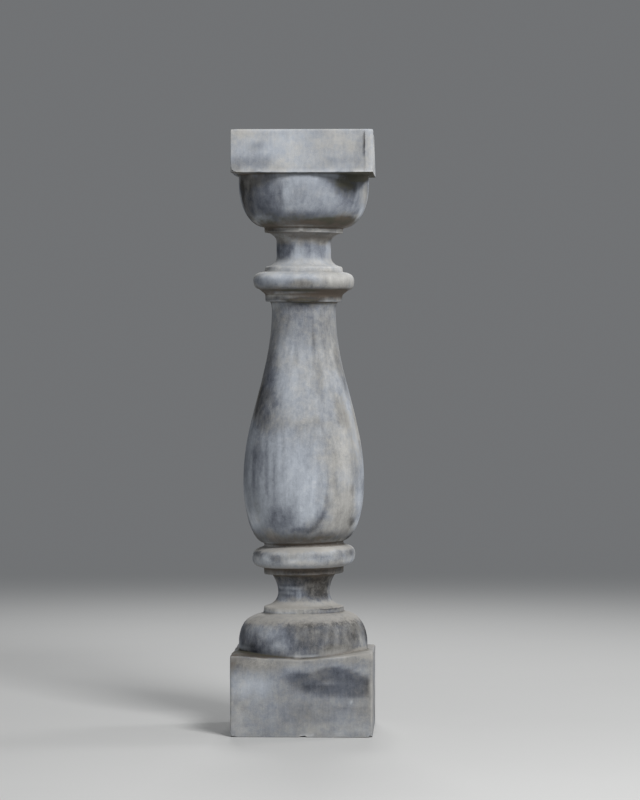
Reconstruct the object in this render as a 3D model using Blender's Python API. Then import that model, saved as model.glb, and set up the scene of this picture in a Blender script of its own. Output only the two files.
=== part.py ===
"""Stone baluster: a square plinth, a turned pear-shaped shaft with its mouldings and a square abacus.

It is carved from one block, so it is one solid. The origin is the middle of the underside, +Z is up,
-Y is the front face, and every size is in metres.
"""

import math

import bmesh
import bpy
from mathutils import Vector

# Square members
PLINTH_SIDE = 0.1635
PLINTH_HEIGHT = 0.094
ABACUS_SIDE = 0.165
ABACUS_HEIGHT = 0.050
WORN_ARRIS = 0.0022

# Lower bowl, between the plinth and the lower neck
LOWER_BOWL_RADIUS = 0.0747
LOWER_BOWL_FOOT = 0.009
LOWER_BOWL_HEIGHT = 0.045
LOWER_BOWL_SHOULDER = 0.0490

# Lower neck, a hollow between two fillets
FOOT_FILLET_RADIUS = 0.0470
FOOT_FILLET_HEIGHT = 0.007
LOWER_NECK_RADIUS = 0.0302
LOWER_FLARE_HEIGHT = 0.0156
LOWER_NECK_HEIGHT = 0.0224
LOWER_NECK_TOP_RADIUS = 0.0378
RING_FILLET_RADIUS = 0.0469
RING_FILLET_HEIGHT = 0.008

# Ring under the pear
RING_RADIUS = 0.0602
RING_HEIGHT = 0.0246
RING_QUIRK_HEIGHT = 0.0044

# Pear-shaped shaft
PEAR_FOOT_RADIUS = 0.0457
BELLY_RADIUS = 0.0709
BELLY_RISE = 0.0717
PEAR_NECK_RADIUS = 0.0375
PEAR_NECK_RISE = 0.1993
PEAR_FLARE_RADIUS = 0.0393
PEAR_FLARE_HEIGHT = 0.0100

# Collar between the pear and the upper neck
UNDER_COLLAR_RADIUS = 0.0451
UNDER_COLLAR_HEIGHT = 0.0083
COLLAR_SPLAY_RADIUS = 0.0530
COLLAR_SPLAY_HEIGHT = 0.0063
COLLAR_RADIUS = 0.0592
COLLAR_HEIGHT = 0.0202
OVER_COLLAR_RADIUS = 0.0454
OVER_COLLAR_HEIGHT = 0.0064

# Upper neck and the fillet under the capital
UPPER_NECK_RADIUS = 0.0320
UPPER_FLARE_HEIGHT = 0.0110
UPPER_NECK_HEIGHT = 0.0190
UPPER_COVE_HEIGHT = 0.0090
UPPER_COVE_RADIUS = 0.0408
CAPITAL_FILLET_RADIUS = 0.0460
CAPITAL_FILLET_HEIGHT = 0.0066

# Capital bowl, under the abacus
CAPITAL_RADIUS = 0.0762
CAPITAL_BOWL_HEIGHT = 0.0494
CAPITAL_LIP_HEIGHT = 0.0118

# Flake lost from the front right upright edge of the abacus: its width on the front face and its
# depth on the side face
FLAKE_WIDTH = 0.0092
FLAKE_DEPTH = 0.0048

# Fineness
SEGMENTS = 48
ROLL_SQUARENESS = 2.4
EMBED = 0.010
CUTTER_MARGIN = 0.010

STONE_COLOUR = (0.33, 0.35, 0.37, 1.0)
STONE_ROUGHNESS = 0.86


def clear_scene():
    for obj in list(bpy.data.objects):
        bpy.data.objects.remove(obj, do_unlink=True)


def stone():
    material = bpy.data.materials.new("weathered_stone")
    material.use_nodes = True
    surface = material.node_tree.nodes["Principled BSDF"]
    surface.inputs["Base Color"].default_value = STONE_COLOUR
    surface.inputs["Roughness"].default_value = STONE_ROUGHNESS
    surface.inputs["Metallic"].default_value = 0.0
    return material


def quarter(start, end, steps, hollow=False):
    """A quarter ellipse from start to end, both (radius, height), without its first point.

    A bulging one leaves start upright and reaches end level. A hollow one leaves level and ends upright.
    """
    points = []
    for i in range(1, steps + 1):
        angle = math.pi / 2 * i / steps
        across, up = (math.sin(angle), 1 - math.cos(angle)) if hollow else (1 - math.cos(angle), math.sin(angle))
        points.append((start[0] + (end[0] - start[0]) * across, start[1] + (end[1] - start[1]) * up))
    return points


class Profile:
    """The outline of a turned piece, drawn from the bottom up as (radius, height) points."""

    def __init__(self, radius, height):
        self.points = [(radius, height)]

    @property
    def radius(self):
        return self.points[-1][0]

    @property
    def height(self):
        return self.points[-1][1]

    def ledge(self, radius):
        if abs(radius - self.radius) > 1e-7:
            self.points.append((radius, self.height))

    def fillet(self, radius, height):
        self.ledge(radius)
        self.points.append((radius, self.height + height))

    def slope(self, radius, height):
        self.points.append((radius, self.height + height))

    def ovolo_in(self, radius, height, steps):
        """Bulges: upright at the bottom and level at its narrower top."""
        self.points += quarter(self.points[-1], (radius, self.height + height), steps)

    def ovolo_out(self, radius, height, steps):
        """Bulges: level at its narrower bottom and upright at the top."""
        top = self.height + height
        bottom = self.points[-1]
        rounded = quarter((radius, top), bottom, steps)[::-1]
        self.points += [*rounded[1:], (radius, top)]

    def hollow_in(self, radius, height, steps):
        """Curves inwards: level at the bottom and upright at its narrower top."""
        self.points += quarter(self.points[-1], (radius, self.height + height), steps, hollow=True)

    def hollow_out(self, radius, height, steps):
        """Curves outwards: upright at its narrower bottom and more and more level towards the top."""
        bottom = self.points[-1]
        for i in range(1, steps + 1):
            part = i / steps
            self.points.append((bottom[0] + (radius - bottom[0]) * part**2, bottom[1] + height * part))

    def roll(self, radius, height, top_radius, steps):
        """A half-round moulding, a little flatter on its face than a true half circle."""
        bottom = self.points[-1]
        for i in range(1, steps):
            angle = math.pi * i / steps
            level = math.copysign(abs(math.cos(angle)) ** (2 / ROLL_SQUARENESS), -math.cos(angle))
            out = math.sin(angle) ** (2 / ROLL_SQUARENESS)
            inner = bottom[0] if level < 0 else top_radius
            self.points.append((inner + (radius - inner) * out, bottom[1] + height * (1 + level) / 2))
        self.points.append((top_radius, bottom[1] + height))

    def half_wave(self, radius, height, steps):
        """An S-curve, upright at both its ends."""
        bottom = self.points[-1]
        for i in range(1, steps + 1):
            part = i / steps
            share = (1 - math.cos(math.pi * part)) / 2
            self.points.append((bottom[0] + (radius - bottom[0]) * share, bottom[1] + height * part))


def shaft_profile():
    """The turned part, from inside the plinth to inside the abacus."""
    line = Profile(LOWER_BOWL_RADIUS, PLINTH_HEIGHT - EMBED)
    line.slope(LOWER_BOWL_RADIUS, EMBED + LOWER_BOWL_FOOT)
    line.ovolo_in(LOWER_BOWL_SHOULDER, LOWER_BOWL_HEIGHT - LOWER_BOWL_FOOT, 7)
    line.fillet(FOOT_FILLET_RADIUS, FOOT_FILLET_HEIGHT)
    line.hollow_in(LOWER_NECK_RADIUS, LOWER_FLARE_HEIGHT, 5)
    line.hollow_out(LOWER_NECK_TOP_RADIUS, LOWER_NECK_HEIGHT, 4)
    line.fillet(RING_FILLET_RADIUS, RING_FILLET_HEIGHT)
    line.roll(RING_RADIUS, RING_HEIGHT, RING_FILLET_RADIUS, 8)
    line.slope(PEAR_FOOT_RADIUS, RING_QUIRK_HEIGHT)
    line.ovolo_out(BELLY_RADIUS, BELLY_RISE, 7)
    line.half_wave(PEAR_NECK_RADIUS, PEAR_NECK_RISE, 13)
    line.hollow_out(PEAR_FLARE_RADIUS, PEAR_FLARE_HEIGHT, 2)
    line.fillet(UNDER_COLLAR_RADIUS, UNDER_COLLAR_HEIGHT)
    line.slope(COLLAR_SPLAY_RADIUS, COLLAR_SPLAY_HEIGHT)
    line.roll(COLLAR_RADIUS, COLLAR_HEIGHT, OVER_COLLAR_RADIUS, 8)
    line.fillet(OVER_COLLAR_RADIUS, OVER_COLLAR_HEIGHT)
    line.hollow_in(UPPER_NECK_RADIUS, UPPER_FLARE_HEIGHT, 4)
    line.slope(UPPER_NECK_RADIUS, UPPER_NECK_HEIGHT)
    line.hollow_out(UPPER_COVE_RADIUS, UPPER_COVE_HEIGHT, 3)
    line.fillet(CAPITAL_FILLET_RADIUS, CAPITAL_FILLET_HEIGHT)
    line.ovolo_out(CAPITAL_RADIUS, CAPITAL_BOWL_HEIGHT, 7)
    line.slope(CAPITAL_RADIUS, CAPITAL_LIP_HEIGHT)
    line.slope(CAPITAL_RADIUS, EMBED)
    return line


def turned(name, points):
    """A solid of revolution: the profile runs down its outer side, and a Screw modifier turns it once."""
    mesh = bpy.data.meshes.new(name)
    form = bmesh.new()
    outline = [(0.0, points[-1][1]), *reversed(points), (0.0, points[0][1])]
    vertices = [form.verts.new((radius, 0.0, height)) for radius, height in outline]
    for upper, lower in zip(vertices, vertices[1:]):
        form.edges.new((upper, lower))
    form.to_mesh(mesh)
    form.free()
    obj = bpy.data.objects.new(name, mesh)
    bpy.context.scene.collection.objects.link(obj)
    turn = obj.modifiers.new("turn", "SCREW")
    turn.axis = "Z"
    turn.angle = math.tau
    turn.steps = SEGMENTS
    turn.render_steps = SEGMENTS
    turn.use_merge_vertices = True
    turn.merge_threshold = 1e-5
    turn.use_smooth_shade = True
    return obj


def as_helper(obj):
    obj.hide_render = True
    obj.display_type = "WIRE"
    return obj


def block(name, side, bottom, top):
    """A square member with worn arrises, centred on the axis."""
    mesh = bpy.data.meshes.new(name)
    form = bmesh.new()
    bmesh.ops.create_cube(form, size=1.0)
    height = top - bottom
    for vertex in form.verts:
        vertex.co = Vector((vertex.co.x * side, vertex.co.y * side, bottom + (vertex.co.z + 0.5) * height))
    form.to_mesh(mesh)
    form.free()
    obj = bpy.data.objects.new(name, mesh)
    bpy.context.scene.collection.objects.link(obj)
    worn = obj.modifiers.new("worn arrises", "BEVEL")
    worn.width = WORN_ARRIS
    worn.segments = 2
    return as_helper(obj)


def flake(bottom, top):
    """The wedge that has split away along the front right upright edge of the abacus."""
    half = ABACUS_SIDE / 2
    slope = FLAKE_DEPTH / FLAKE_WIDTH
    reach = FLAKE_WIDTH + CUTTER_MARGIN
    mesh = bpy.data.meshes.new("abacus_flake")
    form = bmesh.new()
    foot = [
        (half - reach, -half - CUTTER_MARGIN * slope),
        (half + CUTTER_MARGIN, -half - CUTTER_MARGIN * slope),
        (half + CUTTER_MARGIN, -half + FLAKE_DEPTH + CUTTER_MARGIN * slope),
    ]
    corners = [form.verts.new((x, y, bottom)) for x, y in foot]
    face = form.faces.new(corners)
    raised = bmesh.ops.extrude_face_region(form, geom=[face])["geom"]
    lifted = [item for item in raised if isinstance(item, bmesh.types.BMVert)]
    bmesh.ops.translate(form, verts=lifted, vec=(0.0, 0.0, top - bottom))
    bmesh.ops.recalc_face_normals(form, faces=form.faces)
    form.to_mesh(mesh)
    form.free()
    obj = bpy.data.objects.new("abacus_flake", mesh)
    bpy.context.scene.collection.objects.link(obj)
    return as_helper(obj)


def combine(obj, operation, other):
    step = obj.modifiers.new(f"{operation.lower()} {other.name}", "BOOLEAN")
    step.operation = operation
    step.solver = "EXACT"
    step.object = other


def build():
    clear_scene()
    profile = shaft_profile()
    abacus_bottom = profile.height - EMBED
    abacus_top = abacus_bottom + ABACUS_HEIGHT
    baluster = turned("baluster", profile.points)
    baluster.data.materials.append(stone())
    combine(baluster, "UNION", block("plinth_block", PLINTH_SIDE, 0.0, PLINTH_HEIGHT))
    combine(baluster, "UNION", block("abacus_block", ABACUS_SIDE, abacus_bottom, abacus_top))
    combine(baluster, "DIFFERENCE", flake(abacus_bottom - CUTTER_MARGIN / 2, abacus_top + CUTTER_MARGIN))


build()
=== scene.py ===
"""Weathered stone baluster: the carved surface of the block, its patina with some painted shade and
highlight, and a plain studio around it.
"""

import math

import bpy
import numpy as np
from bpy.props import FloatProperty, FloatVectorProperty, PointerProperty
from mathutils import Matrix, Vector, noise


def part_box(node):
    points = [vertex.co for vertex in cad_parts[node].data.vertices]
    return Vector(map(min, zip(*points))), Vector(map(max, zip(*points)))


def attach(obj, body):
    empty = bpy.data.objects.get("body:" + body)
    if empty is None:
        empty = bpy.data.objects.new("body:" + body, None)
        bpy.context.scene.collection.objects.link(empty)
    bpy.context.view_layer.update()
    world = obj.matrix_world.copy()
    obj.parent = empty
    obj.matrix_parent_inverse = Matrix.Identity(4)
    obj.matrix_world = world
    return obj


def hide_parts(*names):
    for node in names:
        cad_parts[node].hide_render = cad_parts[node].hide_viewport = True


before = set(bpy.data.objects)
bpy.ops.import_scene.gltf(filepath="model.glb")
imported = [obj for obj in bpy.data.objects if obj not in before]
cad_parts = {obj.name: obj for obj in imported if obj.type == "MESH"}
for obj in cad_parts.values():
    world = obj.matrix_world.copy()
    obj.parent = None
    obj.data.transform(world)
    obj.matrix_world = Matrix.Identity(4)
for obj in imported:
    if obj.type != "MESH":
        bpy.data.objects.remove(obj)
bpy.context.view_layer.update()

bl_info = {
    "name": "Stone baluster",
    "version": (1, 0, 0),
    "blender": (4, 5, 0),
    "location": "3D View > Sidebar > Baluster",
    "description": "Carves a weathered stone baluster and sets it in a plain studio",
    "category": "Add Mesh",
}

NODE = "baluster"
BLOCK_LOW, BLOCK_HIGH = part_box(NODE)
BLOCK_SIDE = BLOCK_HIGH.x - BLOCK_LOW.x
BLOCK_HEIGHT = BLOCK_HIGH.z - BLOCK_LOW.z
MM = 0.001
ABACUS_HEIGHT = 0.050
ABACUS_FOOT = BLOCK_HEIGHT - ABACUS_HEIGHT

# Fineness of the carved surface. The grading crowds the columns of a side towards its corners
COLUMNS_A_SIDE = 68
CORNER_COLUMNS = 5
SIDE_GRADING = 0.45
ROWS = 352
FINE_STEP = 0.00025

# How close the rows lie on plain stretches, on ledges and on the beds, how much a bend draws them together,
# and the shares of the outline where they begin and end
PLAIN_SPACING = 3.1 * MM
LEDGE_SPACING = 0.9 * MM
BED_SPACING = 6 * MM
BEND_PULL = 2.2
FIRST_ROW, LAST_ROW = 0.004, 0.996

# Widths over which a crisp arris, a blunt one, a quirk and a wide hollow are judged
CRISP, BLUNT = 0.8 * MM, 1.9 * MM
QUIRK_WIDTH, HOLLOW_WIDTH = 1.5 * MM, 4 * MM

# Radii of the upright arrises, and the most of a side's reach that they may take
PLINTH_CORNER, ABACUS_CORNER = 2.2 * MM, 1.6 * MM
CORNER_LIMIT = 0.3


def length(name, description, default):
    return FloatProperty(
        name=name, description=description, default=default, min=0.0, precision=4,
        subtype="DISTANCE", unit="LENGTH",
    )


def colour(name, description, default):
    return FloatVectorProperty(
        name=name, description=description, default=default, size=3, min=0.0, max=1.0, subtype="COLOR",
    )


def turn(name, description, default):
    return FloatProperty(
        name=name, description=description, default=math.radians(default), subtype="ANGLE", unit="ROTATION",
    )


def power(name, default):
    return FloatProperty(name=name, description="In watts", default=default, min=0.0, unit="POWER")


class BALUSTER_PG_sizes(bpy.types.PropertyGroup):
    """Radii and heights of the mouldings, from the plinth up."""

    plinth_side: length("Plinth side", "Width of the square plinth", 0.1645)
    plinth_height: length("Plinth height", "Height of the square plinth", 0.094)
    lower_bowl_radius: length("Lower bowl radius", "Radius of the bowl on the plinth", 0.0747)
    lower_bowl_foot: length("Lower bowl foot", "Upright part at the bowl's foot", 0.009)
    lower_bowl_height: length("Lower bowl height", "Height of the bowl on the plinth", 0.045)
    lower_bowl_shoulder: length("Lower bowl shoulder", "Radius where the bowl meets its fillet", 0.0490)
    foot_fillet_radius: length("Foot fillet radius", "Fillet on the lower bowl", 0.0470)
    foot_fillet_height: length("Foot fillet height", "Fillet on the lower bowl", 0.007)
    lower_neck_radius: length("Lower neck radius", "Narrowest radius of the lower neck", 0.0302)
    lower_flare_height: length("Lower flare height", "Hollow below the lower neck", 0.0156)
    lower_neck_height: length("Lower neck height", "Lower neck up to the ring's fillet", 0.0224)
    lower_neck_top: length("Lower neck top radius", "Radius of the neck under the ring's fillet", 0.0378)
    ring_fillet_radius: length("Ring fillet radius", "Fillet under the ring", 0.0469)
    ring_fillet_height: length("Ring fillet height", "Fillet under the ring", 0.008)
    ring_radius: length("Ring radius", "Ring under the pear", 0.0605)
    ring_height: length("Ring height", "Ring under the pear", 0.0246)
    ring_quirk: length("Ring quirk", "Groove between the ring and the pear", 0.0044)
    pear_foot: length("Pear foot radius", "Radius of the pear where it meets the ring", 0.0457)
    belly_radius: length("Belly radius", "Widest radius of the pear", 0.0709)
    belly_rise: length("Belly rise", "From the pear's foot to its widest", 0.0717)
    pear_neck_radius: length("Pear neck radius", "Radius at the top of the pear", 0.0375)
    pear_neck_rise: length("Pear neck rise", "From the belly to the top of the pear", 0.1993)
    pear_flare_radius: length("Pear flare radius", "Small flare under the collar", 0.0393)
    pear_flare_height: length("Pear flare height", "Small flare under the collar", 0.0100)
    under_collar_radius: length("Under-collar radius", "Fillet under the collar", 0.0451)
    under_collar_height: length("Under-collar height", "Fillet under the collar", 0.0083)
    splay_radius: length("Collar splay radius", "Slanted underside of the collar", 0.0530)
    splay_height: length("Collar splay height", "Slanted underside of the collar", 0.0063)
    collar_radius: length("Collar radius", "Half-round of the collar", 0.0592)
    collar_height: length("Collar height", "Half-round of the collar", 0.0202)
    over_collar_radius: length("Over-collar radius", "Fillet on the collar", 0.0454)
    over_collar_height: length("Over-collar height", "Fillet on the collar", 0.0064)
    upper_neck_radius: length("Upper neck radius", "Straight upper neck", 0.0320)
    upper_flare_height: length("Upper flare height", "Hollow below the upper neck", 0.0110)
    upper_neck_height: length("Upper neck height", "Straight upper neck", 0.0190)
    upper_cove_height: length("Upper cove height", "Hollow above the upper neck", 0.0090)
    upper_cove_radius: length("Upper cove radius", "Hollow above the upper neck", 0.0408)
    capital_fillet_radius: length("Capital fillet radius", "Fillet under the capital", 0.0460)
    capital_fillet_height: length("Capital fillet height", "Fillet under the capital", 0.0066)
    capital_radius: length("Capital radius", "Bowl under the abacus", 0.0762)
    capital_bowl_height: length("Capital bowl height", "Bowl under the abacus", 0.0494)
    capital_lip_height: length("Capital lip height", "Upright lip of the bowl", 0.0118)


class BALUSTER_PG_colours(bpy.types.PropertyGroup):
    """Tints of the stone, of what lies on it, and of its painted shade."""

    slate: colour("Slate", "Darkest bare stone", (0.050, 0.056, 0.071))
    deep_grey: colour("Deep grey", "Dark blue-grey stone", (0.153, 0.168, 0.202))
    body_grey: colour("Body grey", "Stone with little wash left", (0.312, 0.337, 0.380))
    thin_wash: colour("Thin wash", "Limewash worn thin", (0.478, 0.515, 0.570))
    limewash: colour("Limewash", "Thick limewash", (0.668, 0.700, 0.742))
    warm_slate: colour("Warm slate", "Darkest warm stone", (0.058, 0.054, 0.049))
    warm_grey: colour("Warm grey", "Warm stone", (0.345, 0.338, 0.322))
    warm_wash: colour("Warm wash", "Warm limewash", (0.692, 0.683, 0.658))
    dust: colour("Dust", "Dust on the ledges", (0.480, 0.458, 0.420))
    # The two soil tints also colour the painted shade under the abacus and under the mouldings
    olive_soil_and_shade: colour("Olive soil", "Damp soil in the hollows", (0.075, 0.072, 0.050))
    brown_soil_and_shade: colour("Brown soil", "Dry soil in the hollows", (0.120, 0.095, 0.075))


class BALUSTER_PG_studio(bpy.types.PropertyGroup):
    """The camera, the lights and the floor."""

    azimuth: turn("Camera azimuth", "How far the camera stands round to the right", 2.2)
    distance: length("Camera distance", "From the baluster's axis, on the level", 4.3)
    eye_height: length("Eye height", "Height of the camera above the floor", 0.482)
    aim_height: length("Aim height", "Height on the axis that the middle of the picture shows", 0.387)
    aim_right: length("Aim to the right", "How far right of the axis the middle of the picture lies", 0.0189)
    focal_length: FloatProperty(
        name="Focal length", description="Of the lens, in millimetres", default=165.15,
        min=1.0, unit="CAMERA",
    )
    floor_colour: colour("Floor", "Pale floor", (0.72, 0.72, 0.71))
    fade_start: length("Fade start", "Where the floor begins to fade", 0.5)
    fade_end: length("Fade end", "Where the floor has faded away", 3.4)
    sky: colour("Sky", "Soft light from all round", (0.165, 0.170, 0.176))
    lamp_distance: length("Lamp distance", "From the point that the lamps shine on", 2.2)
    lamp_size: length("Lamp size", "Side of each square lamp", 0.6)
    lamp_power: power("Lamp power", 35.0)
    lamp_azimuth: turn("Lamp azimuth", "How far the lamp stands round to the right", 27.0)
    lamp_elevation: turn("Lamp elevation", "How high the lamp stands", 35.0)
    side_power: power("Side lamp power", 9.5)
    side_azimuth: turn("Side lamp azimuth", "How far the side lamp stands round to the right", 114.0)
    side_elevation: turn("Side lamp elevation", "How high the side lamp stands", 16.0)
    back_power: power("Back lamp power", 13.0)
    back_azimuth: turn("Back lamp azimuth", "How far the back lamp stands round to the right", 183.0)
    back_elevation: turn("Back lamp elevation", "How high the back lamp stands", 26.0)


class Outline:
    """Walks up the outline of the block. A point is (reach, height, squareness).

    Reach is the radius where squareness is 0, and half the side where it is 1.
    """

    STEPS = 24

    def __init__(self):
        self.points = [(0.0, 0.0, 1.0)]

    def to(self, reach, rise=0.0, square=None):
        """A straight stretch, shared out so that squareness changes evenly along it."""
        start = np.array(self.points[-1])
        end = np.array([reach, start[1] + rise, start[2] if square is None else square])
        for part in np.linspace(0, 1, self.STEPS + 1)[1:]:
            self.points.append(tuple(start + (end - start) * part))

    def curve(self, reach, rise, path):
        """A curved stretch: path turns 0..1 into the shares of the way out and up."""
        start = self.points[-1]
        for part in np.linspace(0, 1, self.STEPS + 1)[1:]:
            out, up = path(part * math.pi / 2)
            self.points.append((start[0] + (reach - start[0]) * out, start[1] + rise * up, start[2]))

    def fillet(self, reach, rise):
        self.to(reach)
        self.to(reach, rise)

    def ovolo_in(self, reach, rise):
        self.curve(reach, rise, lambda a: (1 - math.cos(a), math.sin(a)))

    def ovolo_out(self, reach, rise):
        """Sets out level and ends upright. Where it runs inwards, the same path cuts a hollow."""
        self.curve(reach, rise, lambda a: (math.sin(a), 1 - math.cos(a)))

    hollow_in = ovolo_out

    def hollow_out(self, reach, rise):
        self.curve(reach, rise, lambda a: ((a / (math.pi / 2)) ** 2, a / (math.pi / 2)))

    def half_wave(self, reach, rise):
        self.curve(reach, rise, lambda a: ((1 - math.cos(2 * a)) / 2, a / (math.pi / 2)))

    def roll(self, reach, rise, top_reach):
        """A half-round, a little flatter on its face than a true half circle."""
        squareness = 2.4
        start = self.points[-1]
        for angle in np.linspace(0, math.pi, 2 * self.STEPS + 1)[1:]:
            level = math.copysign(abs(math.cos(angle)) ** (2 / squareness), -math.cos(angle))
            out = max(0.0, math.sin(angle)) ** (2 / squareness)
            inner = start[0] if level < 0 else top_reach
            self.points.append((inner + (reach - inner) * out, start[1] + rise * (1 + level) / 2, start[2]))


def walk_block(s):
    """The whole outline by the sizes s, from the middle of the underside to the middle of the top."""
    line = Outline()
    line.to(s.plinth_side / 2)
    line.to(s.plinth_side / 2, s.plinth_height)
    line.to(s.lower_bowl_radius, square=0.0)
    line.to(s.lower_bowl_radius, s.lower_bowl_foot)
    line.ovolo_in(s.lower_bowl_shoulder, s.lower_bowl_height - s.lower_bowl_foot)
    line.fillet(s.foot_fillet_radius, s.foot_fillet_height)
    line.hollow_in(s.lower_neck_radius, s.lower_flare_height)
    line.hollow_out(s.lower_neck_top, s.lower_neck_height)
    line.fillet(s.ring_fillet_radius, s.ring_fillet_height)
    line.roll(s.ring_radius, s.ring_height, s.ring_fillet_radius)
    line.to(s.pear_foot, s.ring_quirk)
    line.ovolo_out(s.belly_radius, s.belly_rise)
    line.half_wave(s.pear_neck_radius, s.pear_neck_rise)
    line.hollow_out(s.pear_flare_radius, s.pear_flare_height)
    line.fillet(s.under_collar_radius, s.under_collar_height)
    line.to(s.splay_radius, s.splay_height)
    line.roll(s.collar_radius, s.collar_height, s.over_collar_radius)
    line.fillet(s.over_collar_radius, s.over_collar_height)
    line.hollow_in(s.upper_neck_radius, s.upper_flare_height)
    line.to(s.upper_neck_radius, s.upper_neck_height)
    line.hollow_out(s.upper_cove_radius, s.upper_cove_height)
    line.fillet(s.capital_fillet_radius, s.capital_fillet_height)
    line.ovolo_out(s.capital_radius, s.capital_bowl_height)
    line.to(s.capital_radius, s.capital_lip_height)
    line.to(BLOCK_SIDE / 2, square=1.0)
    line.to(BLOCK_SIDE / 2, BLOCK_HEIGHT - line.points[-1][1])
    line.to(0.0)
    return np.array(line.points)


def read_off(table, at):
    """What a table of (place, amount) gives at each place, in straight lines between its rows."""
    places, amounts = np.array(table).T
    return np.interp(at, places, amounts)


def even_steps(points, step):
    """The same outline with a point every step, measured along it."""
    gaps = np.hypot(*np.diff(points[:, :2], axis=0).T)
    along = np.concatenate([[0.0], np.cumsum(gaps)])
    places = np.arange(0.0, along[-1], step)
    return np.stack([np.interp(places, along, column) for column in points.T], axis=1)


def softened(columns, width, step):
    """Columns smoothed over a width, which rounds the arrises and fills the quirks."""
    reach = max(1, round(3 * width / step))
    weights = np.exp(-0.5 * (np.arange(-reach, reach + 1) * step / width) ** 2)
    weights /= weights.sum()
    before = 2 * columns[:1] - columns[reach:0:-1]
    after = 2 * columns[-1:] - columns[-2:-reach - 2:-1]
    padded = np.concatenate([before, columns, after])
    return np.stack([np.convolve(column, weights, "valid") for column in padded.T], axis=1)


# Where a row's values lie
REACH, HEIGHT, SQUARE, QUIRK, HOLLOW = (slice(place, place + 1) for place in (0, 1, 2, 5, 6))


def surface_rows(s):
    """The worn outline in ROWS steps, close together at the arrises.

    A row is reach, height, squareness, the two parts of its outward direction, and how deep it lies in a
    quirk and in a wide hollow. REACH to HOLLOW pick them out.
    """
    points = even_steps(walk_block(s), FINE_STEP)
    crisp = softened(points[:, :2], CRISP, FINE_STEP)
    blunt = softened(points[:, :2], BLUNT, FINE_STEP)
    worn = crisp + (blunt - crisp) * read_off(BLUNTNESS, points[:, 1] / MM)[:, None]
    tangent = np.gradient(worn, axis=0)
    tangent /= np.linalg.norm(tangent, axis=1)[:, None] + 1e-9
    outward = np.stack([tangent[:, 1], -tangent[:, 0]], axis=1)
    hollow = np.stack([
        ((softened(worn, width, FINE_STEP) - worn) * outward).sum(axis=1) / width
        for width in (QUIRK_WIDTH, HOLLOW_WIDTH)
    ], axis=1)
    bend = np.abs(np.gradient(np.unwrap(np.arctan2(tangent[:, 1], tangent[:, 0])))) / FINE_STEP
    bend = softened(bend[:, None], CRISP, FINE_STEP)[:, 0]
    density = 1 / PLAIN_SPACING + bend * BEND_PULL
    on_square = points[:, 2] > 0.99
    ledge = (points[:, 2] > 0.01) & (points[:, 2] < 0.99)
    density[ledge] += 1 / LEDGE_SPACING
    density[on_square & (worn[:, 0] < 0.9 * s.plinth_side / 2)] = 1 / BED_SPACING
    density = softened(density[:, None], MM, FINE_STEP)[:, 0]
    shares = np.cumsum(density)
    shares = (shares - shares[0]) / (shares[-1] - shares[0])
    picks = np.interp(np.linspace(FIRST_ROW, LAST_ROW, ROWS), shares, np.arange(len(shares)))
    data = np.column_stack([worn, points[:, 2], outward, hollow])
    return np.stack([np.interp(picks, np.arange(len(shares)), column) for column in data.T], axis=1)


def ring_shapes():
    """Each column's angle round the block, share along its side, angle round the corner, and side."""
    angles, along, rounding, sides = [], [], [], []
    straight = COLUMNS_A_SIDE - 2 * CORNER_COLUMNS
    for side in range(4):
        for j in range(COLUMNS_A_SIDE):
            part = -1 + 2 * j / COLUMNS_A_SIDE
            angles.append(math.pi / 2 * side + math.pi / 4 * part)
            run = min(max((j - CORNER_COLUMNS) / straight, 0.0), 1.0) * 2 - 1
            along.append(run + SIDE_GRADING * math.sin(math.pi * run) / math.pi)
            past = max(CORNER_COLUMNS - j, j - CORNER_COLUMNS - straight, 0) / CORNER_COLUMNS
            rounding.append(math.copysign(past, part) * math.pi / 4)
            sides.append(side)
    return np.array(angles), np.array(along), np.array(rounding), np.array(sides)


def block_grid(rows, corner):
    """Points (row, column, xyz) of the block: circles, squares with worn corners, and the ledges between."""
    angles, along, rounding, sides = ring_shapes()
    reach, height, square = rows[:, REACH], rows[:, HEIGHT], rows[:, SQUARE]
    radius = np.minimum(corner, reach * CORNER_LIMIT)
    across = (reach - radius) * along + radius * np.sin(rounding)
    out = (reach - radius) + radius * np.cos(rounding)
    turn_cos, turn_sin = np.cos(sides * math.pi / 2), np.sin(sides * math.pi / 2)
    square_x = across * turn_cos + out * turn_sin
    square_y = across * turn_sin - out * turn_cos
    round_x, round_y = reach * np.sin(angles), -reach * np.cos(angles)
    x = round_x + (square_x - round_x) * square
    y = round_y + (square_y - round_y) * square
    return np.stack([x, y, np.broadcast_to(height, x.shape)], axis=2)


def grid_normals(grid):
    up = np.gradient(grid, axis=0)
    around = np.roll(grid, -1, axis=1) - np.roll(grid, 1, axis=1)
    normals = np.cross(around, up)
    return normals / (np.linalg.norm(normals, axis=2)[:, :, None] + 1e-12)


# How each octave of the noise fades and how much finer it is, and how far a seed moves the noise
NOISE_FADE, NOISE_GAP = 0.8, 2.1
SEED_SHIFT = (17.3, 5.1, 9.7)


def field(grid, wavelength, octaves=3, seed=0.0, stretch=(1.0, 1.0, 1.0)):
    """Fractal noise at each point of the grid, about -1 to 1."""
    scale = np.array(stretch) / wavelength
    places = grid.reshape(-1, 3) * scale + np.array(SEED_SHIFT) * (seed + 1)
    values = [noise.fractal(Vector(place), NOISE_FADE, NOISE_GAP, octaves) for place in places]
    return np.array(values).reshape(grid.shape[:2])


def smooth_step(low, high, value):
    part = np.clip((value - low) / (high - low), 0, 1)
    return part * part * (3 - 2 * part)


def between(value, start, full, fall, end):
    """1 from full to fall, eased down to 0 at start and at end."""
    return smooth_step(start, full, value) * (1 - smooth_step(fall, end, value))
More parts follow.
